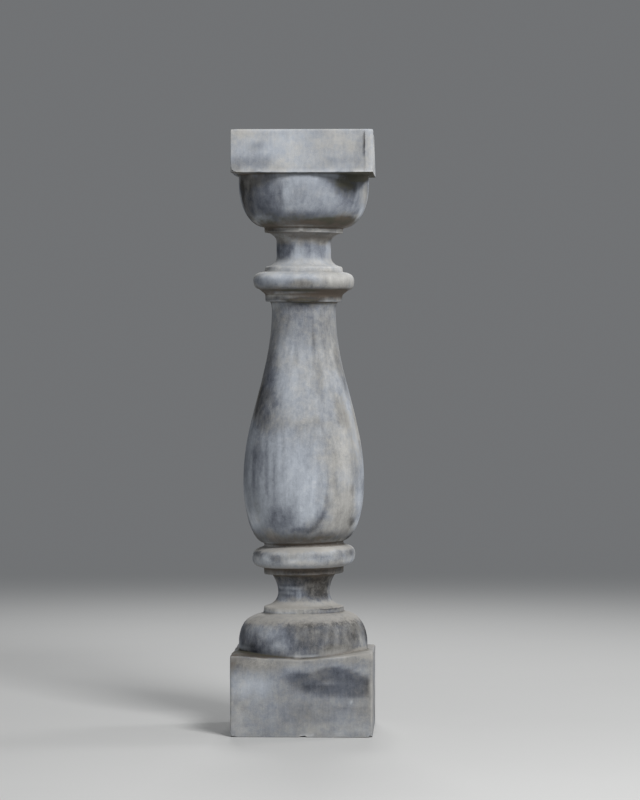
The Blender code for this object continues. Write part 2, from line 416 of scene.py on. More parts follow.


# These tables go by height in mm. How pale the stone is, from 0 for bare slate grey to 1 for thick limewash.
# Its dips at the ring's fillet, under the collar and under the capital bowl, and the collar's darker lower
# half, are painted shade
PALENESS_AND_SHADE = (
    (0, 0.47), (60, 0.47), (84, 0.46), (92, 0.44), (96, 0.30), (104, 0.32), (124, 0.29), (134, 0.42),
    (140, 0.50), (150, 0.66), (155, 0.46), (160, 0.28), (176, 0.24), (182, 0.18), (185, 0.26), (191, 0.28),
    (194, 0.56), (197, 0.58), (212, 0.58), (217, 0.78), (219, 0.42), (230, 0.42), (238, 0.50), (260, 0.58),
    (340, 0.58), (366, 0.56), (390, 0.58), (440, 0.59), (462, 0.45), (494, 0.42), (500, 0.40), (504, 0.30),
    (511, 0.24), (516, 0.42), (518, 0.38), (525, 0.54), (533, 0.78), (549, 0.84), (555, 0.62), (561, 0.46),
    (568, 0.42), (574, 0.52), (582, 0.56), (584, 0.40), (589, 0.40), (594, 0.42), (606, 0.46), (636, 0.50),
    (645, 0.62), (649, 0.66), (652, 0.64), (672, 0.64), (700, 0.62),
)

# How warm the stone's colour is, from 0 for blue-grey to 1 for cream
WARMTH = (
    (0, 0.55), (80, 0.60), (90, 0.75), (98, 0.30), (130, 0.45), (145, 0.65), (158, 0.20), (172, 0.40),
    (190, 0.80), (198, 0.40), (218, 0.70), (240, 0.30), (330, 0.30), (400, 0.45), (460, 0.42), (500, 0.45),
    (510, 0.80), (530, 0.62), (552, 0.65), (562, 0.35), (586, 0.80), (600, 0.25), (645, 0.20), (652, 0.50),
    (700, 0.50),
)

# How much soil clings, besides what the hollows hold. Its rises under the ring, at the pear's foot, under the
# collar and under the capital bowl are partly painted shade
SOIL_AND_SHADE = (
    (0, 0.00), (86, 0.02), (93, 0.10), (97, 0.05), (104, 0.00), (170, 0.05), (180, 0.18), (184, 0.34),
    (191, 0.36), (193, 0.05), (197, 0.00), (215, 0.00), (217, 0.10), (218, 0.30), (230, 0.28), (238, 0.10),
    (246, 0.00), (496, 0.00), (503, 0.30), (511, 0.45), (516, 0.30), (519, 0.05), (522, 0.00), (572, 0.00),
    (575, 0.20), (582, 0.15), (584, 0.15), (589, 0.20), (598, 0.36), (606, 0.05), (612, 0.00), (700, 0.00),
)

# How much dust lies on the ledges
DUST = (
    (0, 0.50), (92, 0.60), (96, 0.90), (150, 0.80), (210, 0.80), (225, 0.50), (300, 0.20), (530, 0.22),
    (560, 0.20), (700, 0.50),
)

# How strongly the finish is mottled
MOTTLING = (
    (0, 0.75), (92, 0.80), (98, 1.15), (135, 1.10), (155, 1.30), (190, 1.2), (240, 1.0), (500, 1.0),
    (660, 0.7),
)

# How blunt the arrises are worn, from 0 for crisp to 1
BLUNTNESS = (
    (0, 0.0), (88, 0.0), (92, 1.0), (97, 0.9), (104, 0.1), (136, 0.5), (139, 1.0), (148, 0.9), (152, 0.2),
    (186, 0.2), (211, 0.3), (215, 1.0), (224, 1.0), (230, 0.2), (528, 0.2), (534, 0.9), (546, 0.9),
    (549, 0.1), (584, 0.2), (591, 0.2), (600, 0.0), (700, 0.0),
)

# Marks on the front, moulding by moulding: kind, softness of the edge from 0 to 1, and the patches. A patch
# is mm right of the middle line round the surface, mm up, half width, half height and amount, then its lean
# (mm across for each mm up) if it isn't upright.
FRONT_MARKS = (
    # Abacus
    ("tone", 0.7, (
        (-58, 665, 25, 10, -0.26), (-53, 680, 11, 5.7, -0.2), (45, 663, 20, 6.9, -0.14, -0.09),
        (65, 678, 6.9, 23, -0.1),
    )),
    ("tone", 0.8, (
        (-74, 665, 9.2, 10, -0.06), (-14, 675, 23, 25, 0.14), (9, 688, 10, 4.6, -0.06),
        # (-1, 652) below is a painted highlight along the abacus's bottom edge
        (-44, 698, 34, 2.3, 0.1), (-1, 652, 69, 1.4, 0.14), (-53, 680, 14, 9.2, 0.1),
        (-72, 668, 11, 6.9, 0.1), (-64, 692, 18, 4.6, 0.06), (72, 683, 1.6, 15, -0.14),
        (73, 662, 1.4, 10, -0.22), (-58, 668, 11, 5.7, 0.08), (75, 676, 6.9, 28, -0.12),
        (-44, 667, 6.9, 6.9, 0.06), (-89, 632, 17, 2.3, -0.1), (6, 689, 8, 9.2, 0.05),
        (62, 691, 6.9, 5.7, 0.06), (-50, 692, 8, 5.7, 0.05), (-72, 671, 3.4, 5.7, 0.06),
        (-29, 661, 6.9, 3.4, 0.06), (-65, 683, 5.7, 4.6, -0.06), (-1, 654, 75, 1.7, -0.04),
        (57, 655, 18, 1.7, -0.07), (-72, 654, 4.6, 2.3, -0.1), (70, 681, 3.4, 5.7, -0.06),
        (-40, 661, 4.6, 5.7, -0.05),
    )),
    # Painted highlight along the right end of the abacus's bottom edge
    ("tone", 0.6, ((71, 651, 15, 1.5, 0.3),)),
    ("warmth", 0.9, (
        (41, 681, 25, 14, 0.3), (-58, 667, 25, 14, -0.25), (-30, 676, 16, 28, -0.3),
        (39, 676, 14, 14, -0.25),
    )),
    ("warmth", 0.8, ((-28, 658, 11, 8, 0.3), (-66, 695, 16, 6.9, 0.25))),
    ("tone", 0.9, ((51, 668, 30, 16, -0.05), (-63, 676, 18, 18, 0.05))),
    # Painted shade at the right end under the abacus
    ("soil_and_shade", 0.6, ((101, 650, 23, 1.4, 0.5),)),
    # Painted light: the abacus's right side face made paler and a little warmer
    ("warmth", 0.5, ((165, 675, 75, 26, 0.1),)),
    ("tone", 0.4, ((165, 675, 72, 30, 0.32),)),
    # Capital bowl
    ("tone", 0.6, ((-83, 621, 17, 35, -0.36), (-2, 586, 3.5, 2.3, 0.35))),
    ("tone", 0.18, ((-48, 620, 27, 35, -0.27),)),
    ("tone", 0.35, ((-15, 624, 7.2, 20, 0.14),)),
    # Among these, the dark patches at (84, 647), (35, 641), (77, 641) and (87, 647) are painted shadow of the
    # abacus on the bowl
    ("tone", 0.8, (
        (-12, 615, 7.1, 4.6, -0.1), (84, 647, 30, 4.6, -0.3), (-60, 599, 30, 7, 0.26, 0.18),
        (-80, 611, 16, 14, 0.12, 0.18), (-30, 632, 7.7, 12, 0.14), (-26, 616, 5.1, 6.9, 0.12),
        (1, 611, 19, 5.8, 0.08), (35, 641, 13, 4.6, -0.22, -0.36), (80, 607, 19, 10, 0.16, -0.47),
        (103, 635, 11, 7, -0.1), (25, 595, 26, 3.5, -0.08), (-95, 627, 9.1, 23, -0.2),
        (-68, 616, 9.3, 16, 0.12), (-55, 597, 26, 4.6, 0.2), (-75, 646, 14, 4.6, -0.22),
        (49, 597, 26, 4.6, -0.2), (61, 619, 14, 5.8, -0.14, -0.58), (-8, 588, 59, 1.9, 0.25),
        (-21, 576, 17, 3.5, 0.3), (33, 573, 15, 3.5, -0.22), (47, 642, 8.3, 4.6, 0.18),
        (77, 641, 17, 4.6, -0.16), (-60, 597, 26, 4.6, 0.14), (30, 594, 34, 3.5, -0.14),
        (51, 640, 8.7, 4.6, 0.1), (-95, 630, 11, 14, -0.1), (73, 612, 24, 9.3, -0.1),
        (87, 647, 27, 2.9, -0.2), (12, 576, 42, 2.9, 0.08), (27, 593, 52, 3.5, -0.06),
        (43, 594, 40, 4.1, -0.08), (97, 630, 14, 12, -0.05), (-44, 586, 22, 5.8, -0.12),
        (-29, 588, 7.5, 2.3, 0.14), (-6, 589, 14, 1.7, 0.08), (48, 642, 9.9, 3.5, 0.12),
        (36, 638, 5.1, 6.9, -0.08), (54, 631, 4.6, 4.6, -0.08), (85, 612, 17, 8.1, 0.1),
        (72, 602, 10, 2.3, 0.12), (-26, 642, 5, 2.9, -0.1), (-35, 631, 5.3, 6.9, 0.06),
        (5, 613, 16, 4.6, 0.03), (49, 641, 11, 4.6, 0.12), (-31, 587, 9.3, 2.3, 0.12),
        (-6, 589, 16, 2.1, 0.08), (-45, 595, 8.9, 2.9, 0.12), (69, 602, 9.5, 3.5, 0.12),
        (-32, 607, 6.7, 6.9, 0.06), (-57, 608, 7.6, 5.8, 0.07), (45, 596, 11, 2.3, -0.08),
    )),
    # (61, 640), (55, 631) and (87, 645) here are painted shadow of the abacus's right overhang on the bowl
    ("tone", 0.7, (
        (-2, 600, 24, 4.6, -0.12), (61, 640, 21, 10, -0.42, -0.47), (97, 630, 14, 17, 0.12),
        (-44, 584, 22, 2.9, -0.2), (55, 631, 18, 9.2, -0.34, -0.58), (87, 645, 28, 4.6, -0.5),
        (6, 604, 61, 3.5, -0.08),
    )),
    # (61, 640), (84, 647) and (41, 641) here are painted shadow of the abacus on the bowl
    ("soil_and_shade", 0.8, (
        (61, 640, 21, 10, 0.5, -0.47), (84, 647, 30, 4.6, 0.4), (-51, 592, 20, 7, 0.3),
        (38, 592, 41, 5.8, 0.3), (41, 641, 16, 5.8, 0.35, -0.36), (49, 597, 26, 4.6, 0.3),
        (-60, 597, 26, 5.8, -0.25), (32, 594, 38, 3.5, 0.25), (46, 594, 38, 4.1, 0.2),
        (-44, 587, 22, 5.8, 0.25), (-49, 588, 16, 3.5, 0.25),
    )),
    ("warmth", 0.8, (
        (95, 628, 15, 16, 0.6), (-76, 642, 33, 9.3, 0.7), (58, 601, 38, 4.6, 0.4), (14, 575, 16, 4.7, 0.4),
        (-4, 593, 45, 3.5, 0.3),
    )),
    ("warmth", 0.9, ((-82, 625, 21, 28, 0.45),)),
    ("tone", 0.5, ((37, 586, 32, 1.7, 0.2),)),
    # Painted shadow of the abacus's right overhang on the bowl
    ("soil_and_shade", 0.7, ((54, 631, 17, 9.2, 0.4, -0.58), (87, 645, 28, 4.6, 0.6))),
    ("soil_and_shade", 0.9, ((-87, 634, 21, 14, 0.2), (-62, 604, 31, 9.3, 0.15))),
    # Upper neck
    ("tone", 0.22, ((-28, 564, 17, 12, -0.24),)),
    ("tone", 0.7, (
        (-5, 562, 6, 10, 0.1), (7, 565, 3.6, 9.3, -0.04), (39, 563, 8.8, 11, 0.05),
        (-50, 543, 15, 3.5, -0.3), (3, 570, 34, 5.2, -0.1),
    )),
    ("tone", 0.8, (
        (23, 562, 7.6, 10, -0.05), (-29, 574, 19, 5.8, 0.12), (22, 556, 23, 4.7, -0.12),
        (-29, 566, 17, 10, 0.16), (16, 560, 16, 9.3, -0.06), (2, 537, 67, 1.6, 0.06),
        (2, 541, 67, 2.3, -0.1), (41, 563, 7.3, 11, 0.16), (-4, 560, 5.9, 9.3, 0.07),
        (-18, 568, 4.2, 4.7, 0.12), (18, 572, 27, 1.7, -0.06),
    )),
    ("tone", 0.4, ((-29, 560, 17, 13, -0.14),)),
    ("warmth", 0.8, ((1, 559, 47, 13, -0.4), (-30, 572, 16, 3.5, 0.4))),
    ("soil_and_shade", 0.8, ((2, 537, 67, 1.9, -0.35),)),
    # Collar
    ("tone", 0.8, (
        (-67, 530, 11, 7, -0.15), (-36, 532, 18, 5.8, 0.14), (-2, 524, 16, 4.6, -0.2),
        (-47, 531, 29, 7, 0.08), (57, 524, 10, 7, -0.12), (13, 521, 14, 3.5, -0.06),
        (-33, 510, 31, 5.8, 0.26), (4, 511, 19, 4.6, 0.12), (58, 513, 16, 4.7, -0.1),
        (35, 499, 16, 2.8, 0.24), (-37, 498, 19, 5.8, 0.26), (-24, 510, 41, 2.6, 0.22),
        # (54, 513), (48, 514) and (46, 512) are painted shade at the right end under the collar
        (54, 513, 20, 3.5, -0.28), (-37, 510, 28, 3.5, 0.1), (48, 514, 27, 2.6, -0.25),
        (8, 507, 55, 3.5, -0.14), (5, 514, 46, 2.9, 0.05), (8, 507, 55, 2.9, -0.08),
        (46, 512, 25, 2.9, -0.14), (8, 514, 12, 2.9, 0.08), (-49, 508, 14, 4.7, 0.1),
        (-31, 532, 18, 4.6, 0.06), (-19, 501, 12, 1.7, 0.14), (43, 501, 16, 1.7, 0.12),
    )),
    ("warmth", 0.8, (
        (-2, 524, 16, 4.6, 0.6), (50, 530, 32, 10, 0.3), (-33, 526, 51, 5.8, -0.5),
        (-10, 511, 34, 4.6, -0.5), (-7, 510, 50, 3.5, 0.6),
    )),
    # Painted shadow lines under the collar and under its fillet, in tone and soil
    ("tone", 0.7, ((0, 504, 26, 1.9, -0.45), (-3, 515, 66, 1.5, -0.3), (5, 505, 18, 1.4, -0.12))),
    ("soil_and_shade", 0.7, ((0, 504, 26, 1.9, 0.4), (-3, 515, 66, 1.5, 0.3))),
    # (48, 514) and (46, 512) here are painted shade at the right end under the collar
    ("soil_and_shade", 0.8, (
        (-31, 510, 34, 3.5, -0.4), (-33, 501, 23, 2.3, -0.35), (48, 514, 27, 2.6, 0.25),
        (46, 512, 25, 2.9, 0.25),
    )),
    # Pear
    ("tone", 0.5, ((-40, 481, 16, 21, -0.12, 0.29),)),
    ("tone", 0.6, (
        (-46, 452, 13, 26, -0.14, 0.18), (23, 469, 2.2, 23, -0.06, -0.05),
        (-61, 313, 9.8, 39, -0.16, -0.03), (-44, 307, 3.7, 35, -0.14, -0.03), (-34, 294, 2.7, 30, -0.12),
        (-28, 251, 18, 15, -0.26, 0.09), (69, 247, 7.8, 5.8, -0.3),
    )),
    ("tone", 0.8, (
        (-55, 405, 17, 42, -0.42, 0.21), (-13, 427, 11, 42, 0.14, 0.03), (-29, 405, 5.8, 23, 0.1, 0.11),
        (13, 454, 2.3, 22, -0.15, -0.03), (20, 417, 6.2, 28, -0.06, -0.03), (46, 402, 11, 30, -0.1, -0.18),
        (59, 336, 16, 28, 0.12, -0.14), (6, 273, 12, 30, 0.12, 0.07), (12, 256, 9.4, 16, 0.12, 0.21),
        (-65, 247, 15, 10, 0.24), (30, 270, 3, 10, -0.18, -0.11), (25, 255, 3.7, 9.2, -0.22, 0.32),
        (16, 243, 4.8, 6.9, -0.2, 0.84), (51, 263, 11, 13, 0.1), (39, 301, 5.3, 10, -0.12),
        (56, 307, 6.5, 9.3, 0.08), (-3, 458, 4.7, 28, 0.16), (-24, 467, 5.8, 23, -0.14, 0.11),
        (-47, 469, 10, 30, 0.12, 0.25), (5, 496, 12, 2.3, -0.14), (-66, 383, 14, 26, -0.34, 0.25),
        (-51, 358, 15, 14, -0.28), (-35, 379, 10, 16, -0.12), (-13, 365, 8.4, 15, 0.12, 0.18),
        (-5, 386, 4.7, 14, 0.08), (46, 411, 13, 12, 0.14), (60, 342, 9.2, 37, 0.15, -0.21),
        (-61, 311, 6.8, 23, 0.2), (-43, 307, 8.8, 25, 0.06), (39, 308, 6.7, 10, 0.1),
        (30, 392, 8.1, 7, -0.08), (6, 239, 16, 6.9, -0.14, -0.07), (20, 255, 6, 12, -0.1, 0.36),
        (-65, 253, 14, 15, 0.16), (58, 287, 6.7, 6.9, -0.1), (81, 268, 15, 14, 0.08),
        (74, 236, 11, 16, 0.26, 1.43), (31, 232, 15, 4.6, -0.26), (36, 266, 4, 6.9, -0.1),
        (-31, 400, 8.8, 28, -0.1), (-25, 446, 4.3, 19, -0.08), (-46, 221, 19, 3.5, 0.2),
        (52, 222, 17, 3.5, 0.25), (-77, 307, 20, 49, -0.07), (56, 384, 8.4, 16, 0.12),
        (50, 235, 15, 5.8, -0.08), (-76, 304, 20, 33, -0.06), (57, 256, 19, 12, -0.1),
        (6, 227, 51, 3.5, -0.06), (-50, 219, 17, 2.9, 0.22), (55, 223, 16, 3.5, 0.16),
        (-31, 228, 13, 2.9, 0.1), (-2, 222, 13, 2.1, 0.12), (-60, 365, 7.1, 9.3, 0.1),
        (27, 485, 5.9, 9.3, 0.08), (-39, 492, 9.9, 10, 0.08), (32, 270, 6.4, 9.2, -0.06),
        (25, 250, 8.6, 3.5, -0.07), (-8, 257, 4.7, 6.9, 0.08), (80, 250, 13, 7, 0.1), (3, 460, 12, 7, 0.04),
        (-35, 345, 7, 9.3, -0.05), (39, 306, 6.7, 5.8, 0.05), (-48, 218, 20, 2.3, 0.2),
        (53, 222, 16, 2.9, 0.2), (2, 221, 11, 2.3, 0.1),
    )),
    ("soil_and_shade", 0.9, (
        (-68, 385, 11, 23, 0.3, 0.21), (22, 364, 7.4, 5.8, 0.16), (-52, 359, 11, 7, 0.22),
        (54, 383, 7.8, 16, 0.3, -0.07), (-1, 228, 50, 4.6, 0.15),
    )),
    ("tone", 0.7, (
        (-45, 388, 7.2, 23, -0.12, 0.18), (-25, 451, 5.9, 28, 0.16, 0.07), (-51, 342, 5.2, 16, 0.08, 0.07),
        (-27, 325, 3.8, 30, 0.1), (-10, 259, 5.9, 16, -0.14, 0.09), (67, 284, 5.1, 7, -0.26),
        (3, 496, 55, 4.6, -0.09),
    )),
    ("warmth", 0.9, (
        (39, 417, 34, 70, 0.3, -0.07), (-6, 361, 66, 10, 0.2), (-22, 296, 36, 53, -0.25),
        (-35, 255, 32, 23, -0.3), (54, 264, 23, 23, 0.6), (57, 319, 35, 51, 0.5),
        (52, 388, 30, 37, -0.4, -0.14), (-40, 413, 22, 16, -0.35), (-55, 243, 26, 9.3, -0.4),
        (50, 240, 36, 9.3, 0.5), (-69, 371, 15, 9.3, 0.3), (36, 296, 6.5, 21, 0.3),
        (-39, 307, 14, 35, -0.3), (-78, 318, 21, 58, -0.3),
    )),
    ("tone", 0.9, (
        (-2, 361, 37, 5.8, -0.07), (-5, 299, 21, 51, 0.1), (-2, 237, 16, 4, -0.16, -0.07),
        (18, 248, 8.3, 9.2, -0.08, 0.70), (-51, 413, 19, 35, -0.05, 0.18), (-1, 273, 8.1, 23, 0.05),
    )),
    ("soil_and_shade", 0.8, ((19, 364, 7.2, 3.5, 0.14), (25, 229, 13, 2.9, 0.16), (-50, 219, 17, 2.9, -0.25))),
    # Ring
    ("tone", 0.7, (
        (-66, 208, 16, 3.5, -0.24), (-33, 204, 8.4, 4.6, -0.26), (-6, 217, 66, 2.3, 0.14, -0.03),
    )),
    ("tone", 0.6, ((-10, 201, 8.3, 3.5, 0.2),)),
    ("tone", 0.8, (
        (16, 207, 14, 2.9, -0.14, -0.11), (54, 202, 18, 3.5, -0.12), (-28, 211, 11, 3.5, 0.12),
        (64, 210, 21, 4.7, -0.1), (-61, 209, 16, 3.5, -0.06), (-56, 201, 22, 4.7, 0.12),
        (67, 201, 17, 4.7, 0.14), (1, 200, 19, 3.5, 0.12), (-41, 189, 26, 5.8, 0.18),
        # (1, 189) and (10, 187) in these lines are painted shadow under the ring, on its fillet
        (-3, 196, 39, 2.3, 0.16), (1, 189, 52, 2.1, -0.16), (67, 209, 17, 4.7, -0.1),
        (-27, 211, 9.5, 3.5, 0.08), (-61, 209, 20, 3.5, -0.06), (48, 207, 10, 4.6, -0.08),
        (2, 193, 69, 2.3, 0.12), (10, 187, 60, 2.9, -0.16),
    )),
    ("warmth", 0.8, ((14, 217, 61, 3.5, 0.3, -0.03), (2, 199, 19, 3.5, 0.4))),
    # Painted shadow under the ring, on its fillet
    ("soil_and_shade", 0.8, ((10, 187, 60, 2.9, 0.15),)),
    # Lower neck
    ("tone", 0.5, ((-20, 168, 21, 1.9, 0.34), (41, 162, 5, 14, 0.2))),
    ("tone", 0.6, ((-5, 161, 3.6, 7, 0.3),)),
    ("tone", 0.7, ((-36, 159, 13, 4.7, 0.26), (-25, 163, 15, 2.9, 0.24))),
    ("tone", 0.8, (
        (12, 167, 10, 5.8, -0.08), (-21, 178, 12, 9.3, 0.12), (16, 177, 16, 3.5, -0.1),
        (22, 158, 18, 4.7, -0.08), (31, 166, 17, 12, -0.1), (1, 178, 51, 4.6, -0.1),
        (-12, 181, 31, 4.6, -0.08), (-36, 167, 9.2, 12, -0.1), (-22, 183, 29, 5.8, 0.09),
        (-4, 178, 8.3, 3.5, 0.08), (-16, 164, 8.3, 2.9, 0.1), (31, 173, 7.4, 3.5, 0.12),
    )),
    ("warmth", 0.9, ((22, 169, 26, 14, 0.7),)),
    ("soil_and_shade", 0.9, ((17, 173, 19, 9.3, 0.16),)),
    ("warmth", 0.8, ((-24, 161, 22, 9.3, -0.3),)),
    ("tone", 0.9, ((1, 162, 35, 8.1, -0.05),)),
    # Foot of the neck
    # Painted shadow under the flare, on the foot fillet
    ("tone", 0.5, ((41, 145, 28, 2.1, -0.36, -0.05),)),
    ("dust", 0.8, ((-31, 146, 37, 3.5, 0.5),)),
    ("tone", 0.8, (
        (-37, 141, 35, 3.5, 0.24), (43, 152, 21, 5.8, -0.08), (-25, 141, 36, 2.3, 0.14),
        (1, 146, 52, 2.1, -0.14), (-34, 146, 27, 4.6, 0.08), (36, 145, 27, 3.5, -0.1),
        (-4, 144, 40, 3.5, -0.08), (-54, 140, 14, 2.9, 0.14),
    )),
    ("soil_and_shade", 0.8, ((-8, 141, 63, 2.3, -0.3), (39, 144, 24, 3.5, 0.16))),
    ("warmth", 0.8, ((-33, 146, 34, 4.6, 0.6),)),
    # Lower bowl
    ("tone", 0.6, (
        (-78, 107, 23, 20, -0.16), (-60, 99, 12, 6.9, -0.16), (4, 93, 19, 1.4, 0.28, 0.03),
        (10, 90, 13, 1, -0.35, -0.03),
    )),
    ("tone", 0.8, (
        (-52, 119, 5.3, 12, 0.14, -0.18), (-23, 105, 6.2, 8.1, 0.26, -0.27), (31, 115, 2.8, 15, 0.1, 0.05),
        (42, 114, 3.3, 16, 0.1, 0.07), (54, 117, 3.6, 14, 0.08, 0.14), (76, 118, 17, 10, -0.14),
        (-78, 113, 20, 19, 0.26), (-83, 98, 24, 3.5, 0.26), (-45, 117, 7.8, 7, 0.16),
        (-31, 103, 5.2, 4.6, 0.12), (36, 130, 52, 5.8, -0.16), (42, 97, 22, 4.6, 0.24),
        (84, 118, 13, 12, 0.2), (98, 107, 11, 11, 0.16), (53, 115, 9.6, 9.3, -0.08),
        (-67, 122, 22, 4.7, 0.1), (-57, 105, 6.8, 5.8, 0.16), (-41, 114, 5.9, 6.9, 0.1),
        (-20, 112, 3.1, 9.2, 0.16, -0.36), (-13, 107, 3, 9.2, 0.14, -0.47), (13, 111, 7, 6.9, -0.1),
        (41, 94, 18, 3.5, 0.16), (-47, 109, 6.1, 5.8, -0.1), (-19, 111, 8.5, 5.8, -0.1),
        (40, 131, 46, 3.5, -0.1), (32, 104, 7.5, 4.6, -0.1), (-85, 114, 11, 16, -0.1),
        (-76, 127, 6.3, 5.9, -0.08), (-45, 137, 29, 2.9, 0.08), (-85, 117, 7.2, 11, -0.1),
        (-55, 110, 6.9, 5.8, -0.1), (-23, 109, 14, 6.9, -0.06), (6, 126, 16, 4.6, -0.07),
        (77, 118, 22, 9.3, -0.06), (38, 115, 4, 10, 0.12), (16, 113, 8.3, 3.5, 0.08),
        (-85, 97, 22, 4.1, 0.22), (-30, 103, 6.4, 3.5, 0.12), (5, 97, 5.8, 6.9, 0.08),
        (-26, 128, 7.9, 3.5, 0.1), (14, 104, 4.7, 3.5, -0.14), (1, 111, 4.6, 5.8, -0.08),
        (-29, 111, 5.2, 5.8, -0.06), (52, 136, 28, 5.8, -0.06),
    )),
    ("tone", 0.9, (
        (-35, 118, 8.3, 14, 0.22, -0.47), (-48, 125, 14, 3.5, 0.12), (-1, 103, 16, 5.8, -0.06),
        (47, 126, 44, 6.9, 0.08), (32, 112, 50, 14, -0.05),
    )),
    ("tone", 0.7, (
        (-15, 120, 3.6, 6.9, -0.12), (23, 116, 2.4, 15, -0.06, 0.03), (88, 103, 8.5, 10, 0.2),
        (13, 93, 12, 1.3, 0.12), (-9, 130, 72, 2.9, -0.1),
    )),
    ("warmth", 0.9, ((1, 118, 18, 15, 0.5), (61, 115, 43, 21, 0.35), (-9, 115, 27, 10, -0.4))),
    ("warmth", 0.8, ((42, 99, 25, 5.8, 0.7),)),
    ("soil_and_shade", 0.8, ((43, 101, 28, 5.8, 0.1),)),
    # Plinth
    ("soil_and_shade", 0.9, ((-106, 89, 11, 7, 0.55), (-79, 81, 4.6, 14, 0.45), (-70, 88, 14, 6.9, 0.14))),
    ("dust", 0.8, ((89, 97, 24, 4.7, 0.6), (91, 95, 32, 5.8, 0.6))),
    ("dust", 0.9, ((-51, 86, 32, 6.9, 0.55), (22, 88, 34, 3.4, 0.35), (84, 89, 40, 8.1, 0.35))),
    ("tone", 0.9, (
        (-53, 61, 25, 15, 0.2, -0.14), (-70, 25, 13, 25, 0.1), (-1, 30, 30, 16, -0.08),
        (-44, 78, 34, 10, -0.07), (-70, 55, 11, 11, 0.07), (34, 12, 34, 8, 0.06), (59, 6, 21, 3.4, 0.05),
        (-65, 86, 16, 6.9, -0.08),
    )),
    ("warmth", 0.9, (
        (-58, 61, 28, 16, -0.3), (-44, 60, 25, 18, -0.1), (28, 69, 18, 11, 0.2), (-44, 84, 28, 6.9, 0.2),
    )),
    ("warmth", 0.8, (
        (29, 65, 53, 21, -0.35), (-12, 73, 18, 6.9, -0.35), (84, 50, 6, 48, 0.35), (16, 73, 8, 6.9, 0.2),
        (34, 65, 15, 3.4, 0.12),
    )),
    ("tone", 0.5, ((57, 40, 1.7, 1.7, 0.7), (34, 64, 13, 2.3, 0.17))),
    ("tone", 0.8, (
        (57, 34, 21, 1.4, -0.07), (59, 83, 16, 5.7, -0.06), (-4, 70, 13, 5.7, -0.07),
        (73, 78, 9.2, 4.6, 0.06), (-1, 82, 16, 2.9, 0.05), (-2, 82, 18, 4.6, 0.07),
        (-33, 47, 3.4, 6.9, 0.06), (-66, 31, 4.6, 8, -0.06), (68, 29, 11, 3.4, -0.06),
        (-74, 81, 5.7, 10, -0.09), (75, 81, 5.7, 2.9, -0.07), (55, 47, 28, 2.9, -0.1),
        (13, 58, 11, 3.4, -0.06), (-11, 67, 8, 9.2, 0.08), (-44, 68, 16, 4.6, -0.05),
        (-17, 84, 14, 5.7, 0.05), (48, 83, 18, 3.4, 0.04), (-66, 31, 5.7, 6.9, -0.05),
        (-37, 21, 16, 5.7, 0.04), (64, 8, 16, 2.3, 0.08), (27, 12, 18, 4.6, 0.03), (-63, 7, 9.2, 2.3, 0.08),
    )),
    ("tone", 0.7, (
        (9, 3, 4.6, 2.3, 0.25), (84, 44, 5, 44, 0.16), (16, 72, 5.7, 6.9, 0.09), (22, 58, 21, 3.4, -0.07),
        (52, 47, 23, 1.8, -0.06),
    )),
)

# Where marks fall on the other three sides: lowest and highest mm, how many, usual half width and half height
SIDE_ZONES = (
    (2, 92, 16, 16, 9),
    (98, 136, 10, 10, 8),
    (140, 190, 6, 10, 4),
    (194, 216, 6, 12, 4),
    (222, 300, 14, 11, 18),
    (300, 420, 16, 9, 30),
    (420, 500, 8, 6, 24),
    (512, 545, 7, 12, 5),
    (550, 588, 6, 8, 8),
    (592, 648, 12, 14, 14),
    (652, 698, 12, 18, 8),
)

# How the mouldings lean: (height in metres, rise for each metre to the right, rise for each metre back)
LEANS = (
    (0.100, 0.000, 0.000),
    (0.150, 0.004, 0.006),
    (0.190, 0.018, 0.000),
    (0.205, 0.034, -0.004),
    (0.222, 0.030, 0.000),
    (0.242, 0.010, 0.000),
    (0.320, 0.000, 0.000),
    (0.495, -0.004, 0.004),
    (0.518, -0.014, 0.006),
    (0.545, -0.003, 0.000),
    (0.578, -0.016, -0.005),
    (0.600, -0.010, 0.000),
    (0.648, 0.000, 0.000),
)


def lean_mouldings(grid):
    heights, to_right, to_back = np.array(LEANS).T
    z = grid[:, :, 2]
    lift = np.interp(z, heights, to_right) * grid[:, :, 0] + np.interp(z, heights, to_back) * grid[:, :, 1]
    grid[:, :, 2] = z + lift


# How far the plinth's front top edge is worn down, in mm: (mm to the right, mm down)
WORN_EDGE = (
    (-80, -1.0), (-70, -0.8), (-60, 0.1), (-50, 1.0), (-40, 1.9), (-30, 2.6), (-20, 3.3), (-10, 3.9),
    (0, 4.2), (10, 4.0), (20, 3.3), (30, 2.2), (40, 0.9), (50, -0.4), (60, -1.5), (70, -2.6), (80, -3.6),
)


def wear_plinth_top(grid):
    """The plinth's front top edge is worn down in the middle, and stands a little proud at the right."""
    x, y, z = grid[:, :, 0], grid[:, :, 1], grid[:, :, 2]
    front = smooth_step(0.0, 0.06, -y)
    dip = read_off(WORN_EDGE, x / MM) * MM
    grid[:, :, 2] = z - dip * front * between(z, 0.066, 0.0935, 0.0945, 0.116)


# How much fuller the lower bowl is on its left, and how much its crown sinks there
BOWL_SWELL = 1.8 * MM
CROWN_SINK = 2.0 * MM


def swell_lower_bowl(grid):
    """The lower bowl is a little fuller on its left, and flatter on top there."""
    x, z = grid[:, :, 0], grid[:, :, 2]
    on_bowl = between(z, 0.093, 0.100, 0.132, 0.140)
    on_crown = between(z, 0.124, 0.136, 0.1385, 0.1410)
    sink = CROWN_SINK * on_crown * smooth_step(0.020, 0.050, -x)
    grid[:, :, 0] = x - BOWL_SWELL * on_bowl * smooth_step(0.015, 0.060, -x)
    grid[:, :, 2] = z - sink


